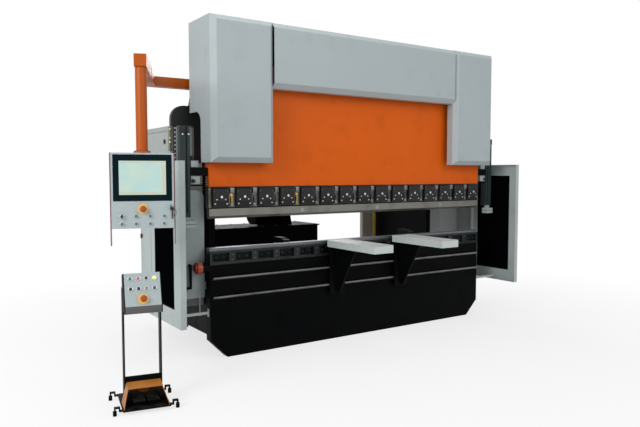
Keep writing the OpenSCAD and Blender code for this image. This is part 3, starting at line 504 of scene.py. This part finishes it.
for gap, across in enumerate(gap_places):
    add_block(wedge_blocks, (across - upper_wedge_half, upper_wedge_y, upper_wedge_heights[0]),
              (across + upper_wedge_half, holder_face, upper_wedge_heights[1]), rounding=0.003)
    add_block(wedge_blocks, (across - lower_wedge_half, lower_wedge_y, lower_wedge_heights[0]),
              (across + lower_wedge_half, holder_face, lower_wedge_heights[1]), rounding=0.003)
    nuts = brass_nuts if gap in brass_gaps else wedge_nuts
    add_hex_bolt(nuts, (across, holder_face - 0.001, nut_z), to_front, size=0.011)
    add_rod(nuts, (across, spindle_y, lower_wedge_heights[1]), (across, spindle_y, spindle_top),
            radius=0.008, sides=16, rounding=0.001)
finished("wedge_blocks", wedge_blocks, "ram", oiled_steel)
proud = 0.0005
# A thin black strip under the ram's lower edge, in front of the punch holder, is painted shadow of the gap
# there.
shadow_gap_strip = bmesh.new()
add_block(shadow_gap_strip, (ram_low.x, ram_low.y - proud, ram_low.z - 0.007),
          (ram_high.x, holder_face, ram_low.z - proud), rounding=0.001)
finished("ram_edge_strip", shadow_gap_strip, "ram", rubber)
punch_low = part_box("punch")[0]
mark_z = punch_low.z + 0.046
punch_marks = bmesh.new()
for across in (-0.669, 0.17, 0.998):
    add_rod(punch_marks, (across, punch_low.y + 0.001, mark_z), (across, punch_low.y - 0.0008, mark_z),
            radius=0.019, sides=32, rounding=0.0003)
finished("punch_marks", punch_marks, "ram",
         machined("bare spot steel", colour(146, 147, 143), gloss=0.55, oil=0.3))
finished("wedge_nuts", wedge_nuts, "ram", bolt_steel)
finished("brass_nuts", brass_nuts, "ram",
         machined("brass", colour(196, 152, 66), gloss=0.26, oil=0.2))

# Laser guard
# A column on each end of the ram carries the laser's sender and receiver down with the punch. Black
# brackets hold it to the ram, and a pale block with a hand knob sets its height.
wear("guard_carriers", black_paint)
column_paint = painted("dark grey anodised", colour(37, 47, 49), gloss=0.45, chips=0.2, shine=0.2)
wear("laser_columns", column_paint)
head_paint = painted("pale grey head paint", colour(152, 159, 161), gloss=0.38, grime=0.12)
wear("laser_heads", head_paint)
column_low, column_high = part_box("laser_columns")
head_low, head_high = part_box("laser_heads")
column_x = 1.7
head_inner_x = 1.673
lower_knob_x = 1.678
lower_knob_z = ram_low.z + 0.046
upper_knob_x = 1.684
upper_knob_z = ram_low.z + 0.229
plate_screw_x = 1.557
column_screw_z = column_high.z - 0.066
seam_z = head_low.z + 0.028
set_blocks = bmesh.new()
knobs = bmesh.new()
plate_screws = bmesh.new()
column_strips = bmesh.new()
seams = bmesh.new()


def add_beside(mesh, side, across, back, height, rounding=0.0, segments=2):
    """A block on one side of the press, by its limits off the middle, to the back and up."""
    near, far = sorted((side * across[0], side * across[1]))
    add_block(mesh, (near, back[0], height[0]), (far, back[1], height[1]), rounding, segments)


for side in (-1, 1):
    add_beside(set_blocks, side, across=(1.615, 1.692), back=(-0.016, 0.03),
               height=(ram_low.z + 0.022, ram_low.z + 0.084), rounding=0.004)
    add_beside(set_blocks, side, across=(1.625, 1.691), back=(-0.014, 0.02),
               height=(ram_low.z + 0.153, ram_low.z + 0.207), rounding=0.004)
    add_beside(knobs, side, across=(1.668, 1.698), back=(-0.014, 0.02),
               height=(ram_low.z + 0.207, ram_low.z + 0.245), rounding=0.003)
    knob_x = side * lower_knob_x
    add_rod(knobs, (knob_x, -0.014, lower_knob_z), (knob_x, -0.044, lower_knob_z), radius=0.014, sides=20,
            rounding=0.004)
    knob_x = side * upper_knob_x
    add_rod(knobs, (knob_x, -0.013, upper_knob_z), (knob_x, -0.04, upper_knob_z), radius=0.012, sides=20,
            rounding=0.004)
    add_beside(knobs, side, across=(1.741, 1.78), back=(column_low.y - 0.01, column_low.y),
               height=(column_high.z - 0.056, column_high.z - 0.006), rounding=0.003)
    for height in (0.016, 0.036, 0.056, 0.076):
        seat = (side * plate_screw_x, -proud, ram_low.z + height)
        add_socket_screw(plate_screws, seat, to_front, size=0.0042, height=0.003)
    for across in (0.01, 0.06):
        seat = (side * (column_x + across), column_low.y, column_screw_z)
        add_socket_screw(plate_screws, seat, to_front, size=0.006, height=0.004)
    # A pale strip down each column's outer side is a painted highlight on that side.
    add_beside(column_strips, side, across=(column_high.x, column_high.x + 0.003), back=(0.018, 0.046),
               height=(column_low.z + 0.03, column_high.z - 0.012), rounding=0.0012)
    add_beside(seams, side, across=(head_inner_x - proud, head_high.x + proud),
               back=(head_low.y - proud, head_high.y + proud), height=(seam_z - 0.002, seam_z + 0.002))
finished("head_seams", seams, "ram", rubber)
finished("height_knobs", knobs, "ram", rubber)
finished("height_blocks", set_blocks, "ram", head_paint)
finished("bracket_screws", plate_screws, "ram", bright_steel)
finished("column_strips", column_strips, "ram",
         painted("dull strip grey", colour(92, 100, 98), gloss=0.5))

# Cable chain
# A plastic energy chain runs down from its black guide arch, bends forward and rises again. Each
# link has two side plates, joined by a bar and snapped to the next one at a pin.
black_plastic = Finish("moulded black plastic", {"Specular IOR Level": 0.45})
black_plastic.mottle(colour(24, 25, 27), 0.3, 0.08, 4)
black_plastic.set("Roughness", 0.42 + 0.15 * black_plastic.noise(0.03, 4))
black_plastic.bump(black_plastic.noise(0.0018, 2), 0.12, 0.0003, black_plastic.rounded(0.0012))
wear("chain_arch", black_plastic)
pale_plastic = Finish("pale plastic")
pale_shade = 0.88 + 0.2 * pale_plastic.noise(0.05, 4)
pale_plastic.set("Base Color", pale_plastic.shade(colour(214, 216, 210), pale_shade))
pale_plastic.set("Roughness", 0.4 + 0.1 * pale_plastic.noise(0.02, 3))
chain_low, chain_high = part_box("drag_chain")
link_pitch = 0.0345
link_thick = 0.03
bar_thick = 0.003
bar_half_height = 0.0158
plate_thick = 0.003
plate_half_height = 0.0165
plate_half_depth = link_thick / 2 - 0.001
chain_x = (chain_low.x + chain_high.x) / 2
half_width = (chain_high.x - chain_low.x) / 2
inner_half = half_width - plate_thick
bend_radius = (chain_high.y - chain_low.y) / 2 - link_thick / 2
bend_y = (chain_low.y + chain_high.y) / 2
bend_z = chain_low.z + bend_radius + link_thick / 2
down_run = chain_high.z - bend_z
arc_run = math.pi * bend_radius
up_run = 0.16


def chain_point(along):
    """The chain's middle line, as y, z and the angle of its run, along metres from its top."""
    if along < down_run:
        return bend_y + bend_radius, chain_high.z - along, 0.0
    if along < down_run + arc_run:
        turn = (along - down_run) / bend_radius
        return bend_y + bend_radius * math.cos(turn), bend_z - bend_radius * math.sin(turn), -turn
    return bend_y - bend_radius, bend_z + along - down_run - arc_run, -math.pi


def join(mesh, piece, place):
    """Moves the piece to its place and adds it to the mesh."""
    bmesh.ops.transform(piece, matrix=place, verts=piece.verts)
    scrap = bpy.data.meshes.new("scrap")
    piece.to_mesh(scrap)
    piece.free()
    mesh.from_mesh(scrap)
    bpy.data.meshes.remove(scrap)


links = bmesh.new()
pins = bmesh.new()
for step in range(int((down_run + arc_run + up_run) / link_pitch)):
    y, z, turn = chain_point((step + 0.5) * link_pitch)
    place = Matrix.Translation((chain_x, y, z)) @ Matrix.Rotation(turn, 4, "X")
    link = bmesh.new()
    for side in (-1, 1):
        add_beside(link, side, across=(inner_half, half_width), back=(-plate_half_depth, plate_half_depth),
                   height=(-plate_half_height, plate_half_height), rounding=0.001, segments=1)
    for face in (-link_thick / 2, link_thick / 2 - bar_thick):
        add_block(link, (-inner_half, face, -bar_half_height),
                  (inner_half, face + bar_thick, bar_half_height), rounding=0.0008, segments=1)
    join(links, link, place)
    pin_top = place @ Vector((0, -link_thick / 2 - proud, 0))
    pin_foot = place @ Vector((0, -link_thick / 2 + proud, 0))
    add_rod(pins, pin_foot, pin_top, radius=0.0068, sides=12)
finished("chain_links", links, "machine", black_plastic)
chain = finished("chain_pins", pins, "machine", pale_plastic)
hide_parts("drag_chain")

# Guard doors
# Folded grey sheet pans on hinges with dark, see through windows held in rubber strips. Fixed panels
# of the same sheet stand behind them, up to the cabinets.
wear("left_door", guard_paint)
wear("right_door", guard_paint)
wear("side_panels", guard_paint)
smoked = Finish("smoked window sheet", {"Specular IOR Level": 0.0})
smoked.mottle(colour(4, 5, 6), 0.2, 0.4)
smoked.set("Roughness", 0.3 + 0.2 * smoked.noise(0.1, 5).between(0.5, 0.8))
window_rim = 0.012
bead_width = 0.007
bead_height = 0.0028
for name, side in (("left", -1), ("right", 1)):
    wear(name + "_door_window", smoked)
    low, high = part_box(name + "_door_window")
    pane_x = max(side * low.x, side * high.x)
    back = (low.y + window_rim, high.y - window_rim)
    height = (low.z + window_rim, high.z - window_rim)
    beads = ((back, (height[0], height[0] + bead_width)), (back, (height[1] - bead_width, height[1])),
             ((back[0], back[0] + bead_width), height), ((back[1] - bead_width, back[1]), height))
    gasket = bmesh.new()
    for bead_back, bead_up in beads:
        add_beside(gasket, side, (pane_x, pane_x + bead_height), bead_back, bead_up, rounding=0.0008)
    finished(name + "_window_gasket", gasket, name + "_guard_door", rubber)

# Cabinets
# Sheet cabinets on the outer faces of the side frames hold the valves and the electrics. Their lids
# have lift off hinges and quarter turn locks. An earth strap is clipped to the left one's front edge.
cabinet_paint = painted("cabinet grey paint", colour(160, 166, 164), gloss=0.44, grime=0.15, chips=0.2)
wear("cabinets", cabinet_paint)
cabinet_low, cabinet_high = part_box("cabinets")
panel_x = 1.9
lock_places = ((cabinet_high.x, 0.707, 0.6), (cabinet_high.x, 0.707, 1.786), (panel_x, 0.556, 0.979))
hinge_y = cabinet_high.y - 0.016
hinge_half = 0.03
locks = bmesh.new()
hinges = bmesh.new()
for side in (-1, 1):
    for across, back, height in lock_places:
        seat = (side * across, back, height)
        add_rod(locks, seat, (side * (across + 0.008), back, height), radius=0.016, rounding=0.002)
        add_beside(locks, side, (across, across + 0.014), (back - 0.005, back + 0.005),
                   (height - 0.02, height + 0.02), rounding=0.003)
    for height in (0.5, 1.12, 1.74):
        add_rod(hinges, (side * cabinet_high.x, hinge_y, height - hinge_half),
                (side * cabinet_high.x, hinge_y, height + hinge_half), radius=0.007, sides=16,
                rounding=0.001)
finished("cabinet_hinges", hinges, "machine", bolt_steel)
strap_paint = Finish("yellow green strap", {"Roughness": 0.5})
yellow_share = strap_paint.noise(0.03, 3, (1, 1, 0.6)).between(0.42, 0.58)
strap_paint.set("Base Color", strap_paint.mix(yellow_share, colour(72, 86, 72), colour(116, 116, 78)))
strap_heights = (1.7, 1.912)
strap = bmesh.new()
add_beside(strap, -1, across=(cabinet_high.x, cabinet_high.x + 0.002),
           back=(cabinet_low.y + 0.004, cabinet_low.y + 0.034), height=strap_heights, rounding=0.0006)
add_beside(strap, -1, across=(cabinet_high.x - 0.02, cabinet_high.x + 0.001),
           back=(cabinet_low.y - 0.002, cabinet_low.y), height=strap_heights, rounding=0.0006)
clips = bmesh.new()
for height in (1.89, 1.813, 1.778):
    add_beside(clips, -1, across=(cabinet_high.x - 0.008, cabinet_high.x + 0.006),
               back=(cabinet_low.y - 0.006, cabinet_low.y + 0.012), height=(height - 0.008, height + 0.008),
               rounding=0.002)
finished("earth_strap", strap, "machine", strap_paint)
finished("strap_clips", clips, "machine", pale_plastic)
finished("cabinet_locks", locks, "machine", black_plastic)

# Sheet support arms
# Pale painted steel channels on black brackets that slide along the two front rails. A raised strip
# runs along the right edge of each arm, and eight flush screws hold the arm down.
arm_paint = painted("pale arm paint", colour(190, 199, 197), gloss=0.36, grime=0.12, chips=0.25)
for side in ("left", "right"):
    wear(side + "_support_arm", arm_paint)
    wear(side + "_arm_bracket", black_paint)
    low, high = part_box(side + "_support_arm")
    screws = bmesh.new()
    for along in (0.05, 0.2, 0.45, 0.62):
        for across in (0.03, 0.17):
            seat = (low.x + across, low.y + along, high.z)
            add_socket_screw(screws, seat, (0, 0, 1), size=0.005, height=0.0004)
    finished(side + "_arm_screws", screws, "support_" + side, bolt_steel)

# Back gauge
# Two guides behind the table carry carriages with masts, and a ground beam lies across them. Two
# steel fingers slide on the beam and stop the sheet's edge.
wear("gauge_rails", rail_steel)
wear("gauge_carriages", black_paint)
beam_steel = machined("ground beam steel", colour(138, 139, 140), gloss=0.28, grain=(1, 16, 16), oil=0.3)
wear("gauge_beam", beam_steel)
finger_steel = machined("ground finger steel", colour(34, 37, 39), gloss=0.5, grain=(6, 6, 1), oil=0.3)
wear("left_finger", finger_steel)
wear("right_finger", finger_steel)
finger_block_depth = 0.0587
for side in ("left", "right"):
    low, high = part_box(side + "_finger")
    screws = bmesh.new()
    for across in (0.012, 0.088):
        for height in (0.015, 0.035):
            seat = (low.x + across, high.y - finger_block_depth, low.z + height)
            add_socket_screw(screws, seat, to_front, size=0.004, height=0.003)
    finished(side + "_finger_screws", screws, "gauge_finger_" + side, bolt_steel)

# Hydraulic pack and rear posts
# The welded oil tank lies between the frames with its pump and motor on the lid. Posts behind it
# hold the yellow light curtains.
tank_paint = painted("tank black paint", colour(8, 8, 9), gloss=0.55, grime=0.3, chips=0.2,
                     under=bare_black, shine=0.03)
wear("oil_tank", tank_paint)
wear("pump_motor", tank_paint)
wear("rear_posts", painted("grey brown post paint", colour(168, 170, 158), gloss=0.45, dust=0.1))
wear("light_curtain", painted("yellow curtain paint", colour(214, 200, 60), gloss=0.35, grime=0.1))
motor_low, motor_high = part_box("pump_motor")
motor_place = Matrix.Translation((0, 0.93, motor_high.z - 0.116))
fin_start = motor_low.x + 0.064
fin_end = motor_low.x + 0.322
fin_count = 28
lowest_fin = -0.8
fins = bmesh.new()
for step in range(fin_count):
    turn = math.tau * step / fin_count
    if math.sin(turn) >= lowest_fin:
        fin = bmesh.new()
        add_block(fin, (fin_start, -0.002, 0.105), (fin_end, 0.002, 0.1155), rounding=0.0008, segments=1)
        join(fins, fin, motor_place @ Matrix.Rotation(turn, 4, "X"))
finished("motor_fins", fins, "machine", tank_paint)
tank_low, tank_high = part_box("oil_tank")
lid_z = tank_high.z - 0.06
lid_bolt_count = 9
lid_bolt_inset = 0.03
first_lid_bolt_x = tank_low.x + 0.06
lid_bolt_run = tank_high.x - tank_low.x - 0.1
lid_bolts = bmesh.new()
for step in range(lid_bolt_count):
    across = first_lid_bolt_x + step * lid_bolt_run / (lid_bolt_count - 1)
    for back in (tank_low.y + lid_bolt_inset, tank_high.y - lid_bolt_inset):
        add_hex_bolt(lid_bolts, (across, back, lid_z), (0, 0, 1), size=0.007)
finished("lid_bolts", lid_bolts, "machine", bolt_steel)

# Console arm and post
# Square tube, mitred and welded at the corner, reaches out from the left frame to the round post
# that the console turns on. All of it is painted orange.
# The arm and post have the ram's orange paint, made darker here as painted shade.
arm_orange_in_painted_shade = painted("orange arm paint", colour(166, 76, 6), gloss=0.34, grime=0.14, chips=0.3,
                     under=bare_orange, shine=0.25)
wear("console_arm", arm_orange_in_painted_shade)
wear("console_post", arm_orange_in_painted_shade)
swivel = next(joint for joint in frame["joints"] if joint["name"] == "console_swivel")["pos_m"]
console_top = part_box("console_post")[0].z
console_height = 0.5
console_turn = math.radians(-18)
console_place = (Matrix.Translation((swivel[0], swivel[1], console_top - console_height))
                 @ Matrix.Rotation(console_turn, 4, "Z"))
flange_bolts = bmesh.new()
for across, back in points_around(4, 0.046):
    seat = (swivel[0] + across, swivel[1] + back, console_top + 0.012)
    add_socket_screw(flange_bolts, seat, (0, 0, 1), size=0.0045, height=0.005)
finished("flange_bolts", flange_bolts, "console", bolt_steel)

# Console
# A sheet box with side cheeks that reach down as handles. Its dark glass panel holds the screen, and
# below it are an emergency stop, a selector, a key and push buttons.
console_paint = painted("console grey paint", colour(160, 172, 174), grime=0.08, chips=0.1)
wear("console_box", console_paint)
bezel_glass = Finish("dark console glass", {"Specular IOR Level": 0.04})
bezel_glass.mottle(colour(9, 24, 29), 0.2, 0.2)
bezel_glass.set("Roughness", 0.16 + 0.1 * bezel_glass.noise(0.05, 4))
wear("console_screen", bezel_glass)
button_plastic = Finish("blue grey button plastic")
button_plastic.mottle(colour(84, 102, 112), 0.3, 0.02)
button_plastic.set("Roughness", 0.35 + 0.15 * button_plastic.noise(0.01, 3))
wear("console_controls", button_plastic)
face_y = -0.05
screen_z = 0.335
screen_half = (0.15, 0.112)
screen = Finish("lit screen", {"Roughness": 0.25, "Base Color": colour(20, 24, 26),
                               "Emission Strength": 0.85})
drift = screen.noise(0.12, 2).between(0.35, 0.7)
screen.set("Emission Color", screen.mix(drift, colour(190, 226, 224), colour(206, 230, 214)))
glass = bmesh.new()
add_block(glass, (-screen_half[0], face_y - proud, screen_z - screen_half[1]),
          (screen_half[0], face_y + 0.0025, screen_z + screen_half[1]), rounding=0.0006)
finished("screen_glass", glass, "console", screen, place=console_place)
panes = Finish("drawn screen fields", {"Roughness": 0.3, "Base Color": colour(60, 70, 70),
                                       "Emission Strength": 0.8})
panes.set("Emission Color", panes.mix(panes.noise(0.05, 2), colour(222, 214, 184), colour(196, 206, 176)))
tool_bar = ((0.125, -0.108), (0.146, 0.085))
bottom_line = ((-0.148, -0.108), (0.12, -0.092))
top_line = ((-0.148, 0.098), (0.146, 0.108))
fields = bmesh.new()
for low, high in (tool_bar, bottom_line, top_line):
    add_block(fields, (low[0], face_y - 0.0008, screen_z + low[1]), (high[0], face_y, screen_z + high[1]),
              rounding=0.0002, segments=1)
finished("screen_fields", fields, "console", panes, place=console_place)
button_left = -0.135
button_pitch = 0.09
button_rows = (0.032, 0.082)
ring_radius = 0.0145
rings = bmesh.new()
for column in range(4):
    across = button_left + button_pitch * column
    for row in button_rows:
        add_rod(rings, (across, face_y + 0.001, row), (across, face_y - 0.004, row), ring_radius, sides=28,
                rounding=0.0012)
finished("button_rings", rings, "console", bright_steel, place=console_place)
yellow_plastic = Finish("yellow plastic", {"Roughness": 0.4})
yellow_plastic.mottle(colour(222, 176, 84), 0.16, 0.02)
red_plastic = Finish("red plastic", {"Roughness": 0.3})
red_plastic.mottle(colour(146, 60, 28), 0.16, 0.02)


def add_stop_button(collar, head, place):
    """An emergency stop: a broad yellow collar, and a red mushroom head that latches."""
    collar_parts = ((0.0, 0.005, 0.034, 0.034), (0.005, 0.018, 0.014, 0.013))
    head_parts = ((0.018, 0.03, 0.021, 0.021), (0.03, 0.037, 0.021, 0.012))
    for mesh, parts in ((collar, collar_parts), (head, head_parts)):
        for near, far, radius, end_radius in parts:
            add_rod(mesh, place @ Vector((0, -near, 0)), place @ Vector((0, -far, 0)), radius, end_radius,
                    sides=32, rounding=0.0012)


stop_z = 0.13
collar, head = bmesh.new(), bmesh.new()
add_stop_button(collar, head, Matrix.Translation((0, face_y, stop_z)))
finished("console_stop_collar", collar, "console", yellow_plastic, place=console_place)
finished("console_stop_head", head, "console", red_plastic, place=console_place)
selector = bmesh.new()
add_block(selector, (button_left - 0.004, face_y - 0.022, button_rows[1] - 0.014),
          (button_left + 0.004, face_y - 0.008, button_rows[1] + 0.014), rounding=0.002)
finished("console_selector", selector, "console", black_plastic, place=console_place)
key_x = 0.186
key_z = 0.128
key = bmesh.new()
add_rod(key, (key_x, face_y + 0.001, key_z), (key_x, face_y - 0.009, key_z), radius=0.013, rounding=0.002)
bow_low = (key_x - 0.011, face_y - 0.024, key_z - 0.003)
bow_high = (key_x - 0.005, face_y - 0.008, key_z + 0.028)
add_block(key, bow_low, bow_high, rounding=0.001)
tag_low = (key_x - 0.003, face_y - 0.012, key_z - 0.066)
tag_high = (key_x + 0.006, face_y - 0.008, key_z - 0.006)
add_block(key, tag_low, tag_high, rounding=0.002)
ring_middle = Vector((key_x + 0.016, face_y - 0.01, key_z - 0.024))
ring_turns = [math.tau * step / 18 for step in range(19)]
ring_points = [ring_middle + Vector((0.012 * math.cos(turn), 0, 0.024 * math.sin(turn)))
               for turn in ring_turns]
for start, end in zip(ring_points[:-1], ring_points[1:]):
    add_rod(key, start, end, radius=0.0015, sides=8)
cheek_x = 0.206
trim_half = 0.0025
trims = bmesh.new()
for side in (-1, 1):
    add_beside(trims, side, across=(cheek_x - trim_half, cheek_x + trim_half),
               back=(face_y + 0.0055, face_y + 0.0085), height=(-0.112, console_height), rounding=0.001)
trim_rubber = Finish("dark red trim", {"Roughness": 0.5})
trim_rubber.mottle(colour(122, 50, 54), 0.3, 0.03)
finished("cheek_trims", trims, "console", trim_rubber, place=console_place)
finished("console_key", key, "console", black_plastic, place=console_place)

# Pedal stand
# A separate stand of flat black steel with a sloped switch box at hand height. Under the orange hood
# at its foot are two pedals, and four bent arms end in round feet.
pedal_joints = [joint for joint in frame["joints"] if joint["name"].endswith("pedal_press")]
across_stand = Vector(pedal_joints[0]["axis"]).normalized()
axle = (Vector(pedal_joints[0]["pos_m"]) + Vector(pedal_joints[1]["pos_m"])) / 2
axle_y = 0.12
stand_place = (Matrix.Translation((axle.x, axle.y, 0))
               @ Matrix.Rotation(math.atan2(across_stand.y, across_stand.x), 4, "Z")
               @ Matrix.Translation((0, -axle_y, 0)))
wear("stand_frame", black_paint)
wear("stand_box", console_paint)
hood_paint = painted("amber hood paint", colour(170, 102, 16), gloss=0.34, grime=0.3, chips=0.5,
                     under=colour(60, 50, 40))
# The hood's inner faces turn dark brown: painted shade under the hood. Its outer faces keep the amber.
hood_middle = stand_place @ Vector((0, 0.09, 0.08))
from_hood = hood_paint.node("VectorMath", {"operation": "SUBTRACT"},
                            {0: hood_paint.node("TexCoord", output="Object"), 1: hood_middle})
hood_normal = hood_paint.node("NewGeometry", output="Normal")
out_of_hood = hood_paint.node("VectorMath", {"operation": "DOT_PRODUCT"}, {0: from_hood, 1: hood_normal},
                              output="Value")
unshaded_outer_share = out_of_hood.between(-0.006, 0.0)
hood_paint.set("Base Color", hood_paint.mix(unshaded_outer_share, colour(34, 20, 10), hood_paint.tint))
wear("stand_hood", hood_paint)
wear("left_pedal", black_paint)
wear("right_pedal", black_paint)
half_round_z = 0.124
half_round = bmesh.new()
add_rod(half_round, (0, 0.1625, half_round_z), (0, 0.159, half_round_z), radius=0.04, sides=40,
        rounding=0.0008)
bmesh.ops.bisect_plane(half_round, geom=half_round.verts[:] + half_round.edges[:] + half_round.faces[:],
                       plane_co=(0, 0, half_round_z), plane_no=(0, 0, 1), clear_outer=True)
bmesh.ops.holes_fill(half_round, edges=half_round.edges[:])
finished("hood_half_round", half_round, "machine",
         painted("amber stop paint", colour(150, 84, 14), grime=0.3, chips=0.3), place=stand_place)
box_half = 0.113
back_plate = bmesh.new()
add_block(back_plate, (-box_half, 0.181, 0.14), (box_half, 0.187, 0.1665), rounding=0.001)
finished("stand_back_plate", back_plate, "machine", black_paint, place=stand_place)
box_lip = bmesh.new()
add_block(box_lip, (proud - box_half, 0.0925, 0.617), (box_half - proud, 0.0945, 0.6635), rounding=0.0006)
box_outline = ((0.093, 0.616), (0.093, 0.666), (0.163, 0.8665), (0.23, 0.847), (0.214, 0.636))
side_sheet_thick = 0.006
box_sides = bmesh.new()
for side in (-1, 1):
    outline = [box_sides.verts.new((side * box_half, y, z)) for y, z in box_outline]
    sheet = box_sides.faces.new(outline)
    grown = bmesh.ops.extrude_face_region(box_sides, geom=[sheet])["geom"]
    grown_verts = [part for part in grown if isinstance(part, bmesh.types.BMVert)]
    bmesh.ops.translate(box_sides, verts=grown_verts, vec=(side * side_sheet_thick, 0, 0))
finished("stand_box_sides", box_sides, "machine", black_paint, place=stand_place)
finished("stand_box_lip", box_lip, "machine",
         painted("dark lip paint", colour(80, 80, 78), gloss=0.5, grime=0.3, chips=0.2), place=stand_place)
slope_foot = Vector((0, 0.094, 0.665))
slope_top = Vector((0, 0.164, 0.866))
slope = slope_top - slope_foot
slope_out = Vector((0, -slope.z, slope.y)).normalized()


def on_slope(across, share, lift=0.0):
    """A place on the switch box's sloped face: across it, up it by a share, and lifted off it."""
    return Vector((across, 0, 0)) + slope_foot + slope * share + slope_out * lift


def switch_plastic(name, tint, glow):
    finish = Finish(name + " plastic", {"Roughness": 0.3})
    finish.mottle(tint, 0.2, 0.01)
    if glow:
        finish.set("Emission Color", tint)
        finish.set("Emission Strength", glow)
    return finish


upper_row = 0.83
lower_row = 0.52
black_tint = colour(26, 26, 28)
switches = (
    ("green_button", -0.075, upper_row, colour(40, 110, 84), 0.0),
    ("red_button", -0.025, upper_row, colour(214, 80, 110), 0.0),
    ("black_button", 0.025, upper_row, colour(44, 50, 58), 0.0),
    ("yellow_lamp", 0.075, upper_row, colour(232, 226, 90), 0.35),
    ("first_switch", -0.075, lower_row, black_tint, 0.0),
    ("second_switch", -0.025, lower_row, black_tint, 0.0),
    ("third_switch", 0.025, lower_row, colour(110, 116, 118), 0.0),
    ("fourth_switch", 0.075, lower_row, colour(60, 64, 70), 0.0),
)
switch_rings = bmesh.new()
for name, across, share, tint, glow in switches:
    add_rod(switch_rings, on_slope(across, share, -0.001), on_slope(across, share, 0.004), ring_radius,
            sides=28, rounding=0.0012)
    cap = bmesh.new()
    add_rod(cap, on_slope(across, share, 0.003), on_slope(across, share, 0.009), radius=0.011, sides=28,
            rounding=0.002)
    finished(name, cap, "machine", switch_plastic(name, tint, glow), place=stand_place)
finished("switch_rings", switch_rings, "machine", bright_steel, place=stand_place)
collar, head = bmesh.new(), bmesh.new()
lean = Matrix.Rotation(math.atan2(slope.y, slope.z), 4, "X").inverted()
add_stop_button(collar, head, Matrix.Translation(on_slope(0, 0.2)) @ lean)
finished("stand_stop_collar", collar, "machine", yellow_plastic, place=stand_place)
finished("stand_stop_head", head, "machine", red_plastic, place=stand_place)


# Floor and light
# A plain pale studio floor that runs out to white, and large soft lamps to the left, the right and
# above, at a plain level. The camera, mirrors and glass see the backdrop as white.
def seen(nodes):
    """1 for a ray from the camera, a mirror or through glass, and 0 for one that lights."""
    from_camera = nodes.node("LightPath", output="Is Camera Ray")
    from_mirror = nodes.node("LightPath", output="Is Glossy Ray")
    through_glass = nodes.node("LightPath", output="Is Transmission Ray")
    sockets = {0: from_camera + from_mirror, 1: through_glass}
    return nodes.node("Math", {"operation": "ADD", "use_clamp": True}, sockets)


floor_mesh = bpy.data.meshes.new("floor")
floor_shape = bmesh.new()
bmesh.ops.create_grid(floor_shape, x_segments=1, y_segments=1, size=60)
floor_shape.to_mesh(floor_mesh)
floor_shape.free()
floor = bpy.data.objects.new("floor", floor_mesh)
bpy.context.scene.collection.objects.link(floor)
floor_paint = Finish("pale floor", {"Roughness": 0.9, "Specular IOR Level": 0.1,
                                    "Base Color": colour(236, 236, 236)})
from_middle = floor_paint.node("VectorMath", {"operation": "LENGTH"}, {0: floor_paint.place()},
                               output="Value")
white_share = 0.7 + 0.3 * from_middle.between(1.8, 5.2)
white_air = floor_paint.node("Emission", {}, {"Color": (1, 1, 1, 1), "Strength": 1.0})
shaders = {0: white_share * seen(floor_paint), 1: Value(floor_paint, floor_paint.shader.outputs[0]),
           2: white_air}
floor_paint.connect(floor_paint.tree.nodes["Material Output"].inputs["Surface"],
                    floor_paint.node("MixShader", {}, shaders))
floor_mesh.materials.append(floor_paint.material)
world = bpy.data.worlds.new("studio")
bpy.context.scene.world = world
world.use_nodes = True
air = Nodes(world.node_tree)
sky_light = 0.42
sky = air.tree.nodes["Background"].inputs
air.connect(sky["Color"], (1, 1, 1, 1))
air.connect(sky["Strength"], sky_light + (1 - sky_light) * seen(air))


middle = Vector((0, 0, 1.2))


def add_lamp(name, place, size, power):
    """A round soft lamp that is aimed at the middle of the press."""
    data = bpy.data.lights.new(name, "AREA")
    data.shape = "DISK"
    data.size = size
    data.energy = power
    lamp = bpy.data.objects.new(name, data)
    lamp.location = place
    lamp.rotation_euler = (middle - Vector(place)).to_track_quat("-Z", "Y").to_euler()
    bpy.context.scene.collection.objects.link(lamp)


add_lamp("left lamp", (-8, -3, 4.5), size=4, power=380)
add_lamp("front lamp", (2, -8, 5), size=5, power=190)
add_lamp("top lamp", (0, 1, 7), size=5, power=130)
add_lamp("back lamp", (3, 8, 4), size=4, power=180)
bpy.context.scene.view_settings.view_transform = "Standard"
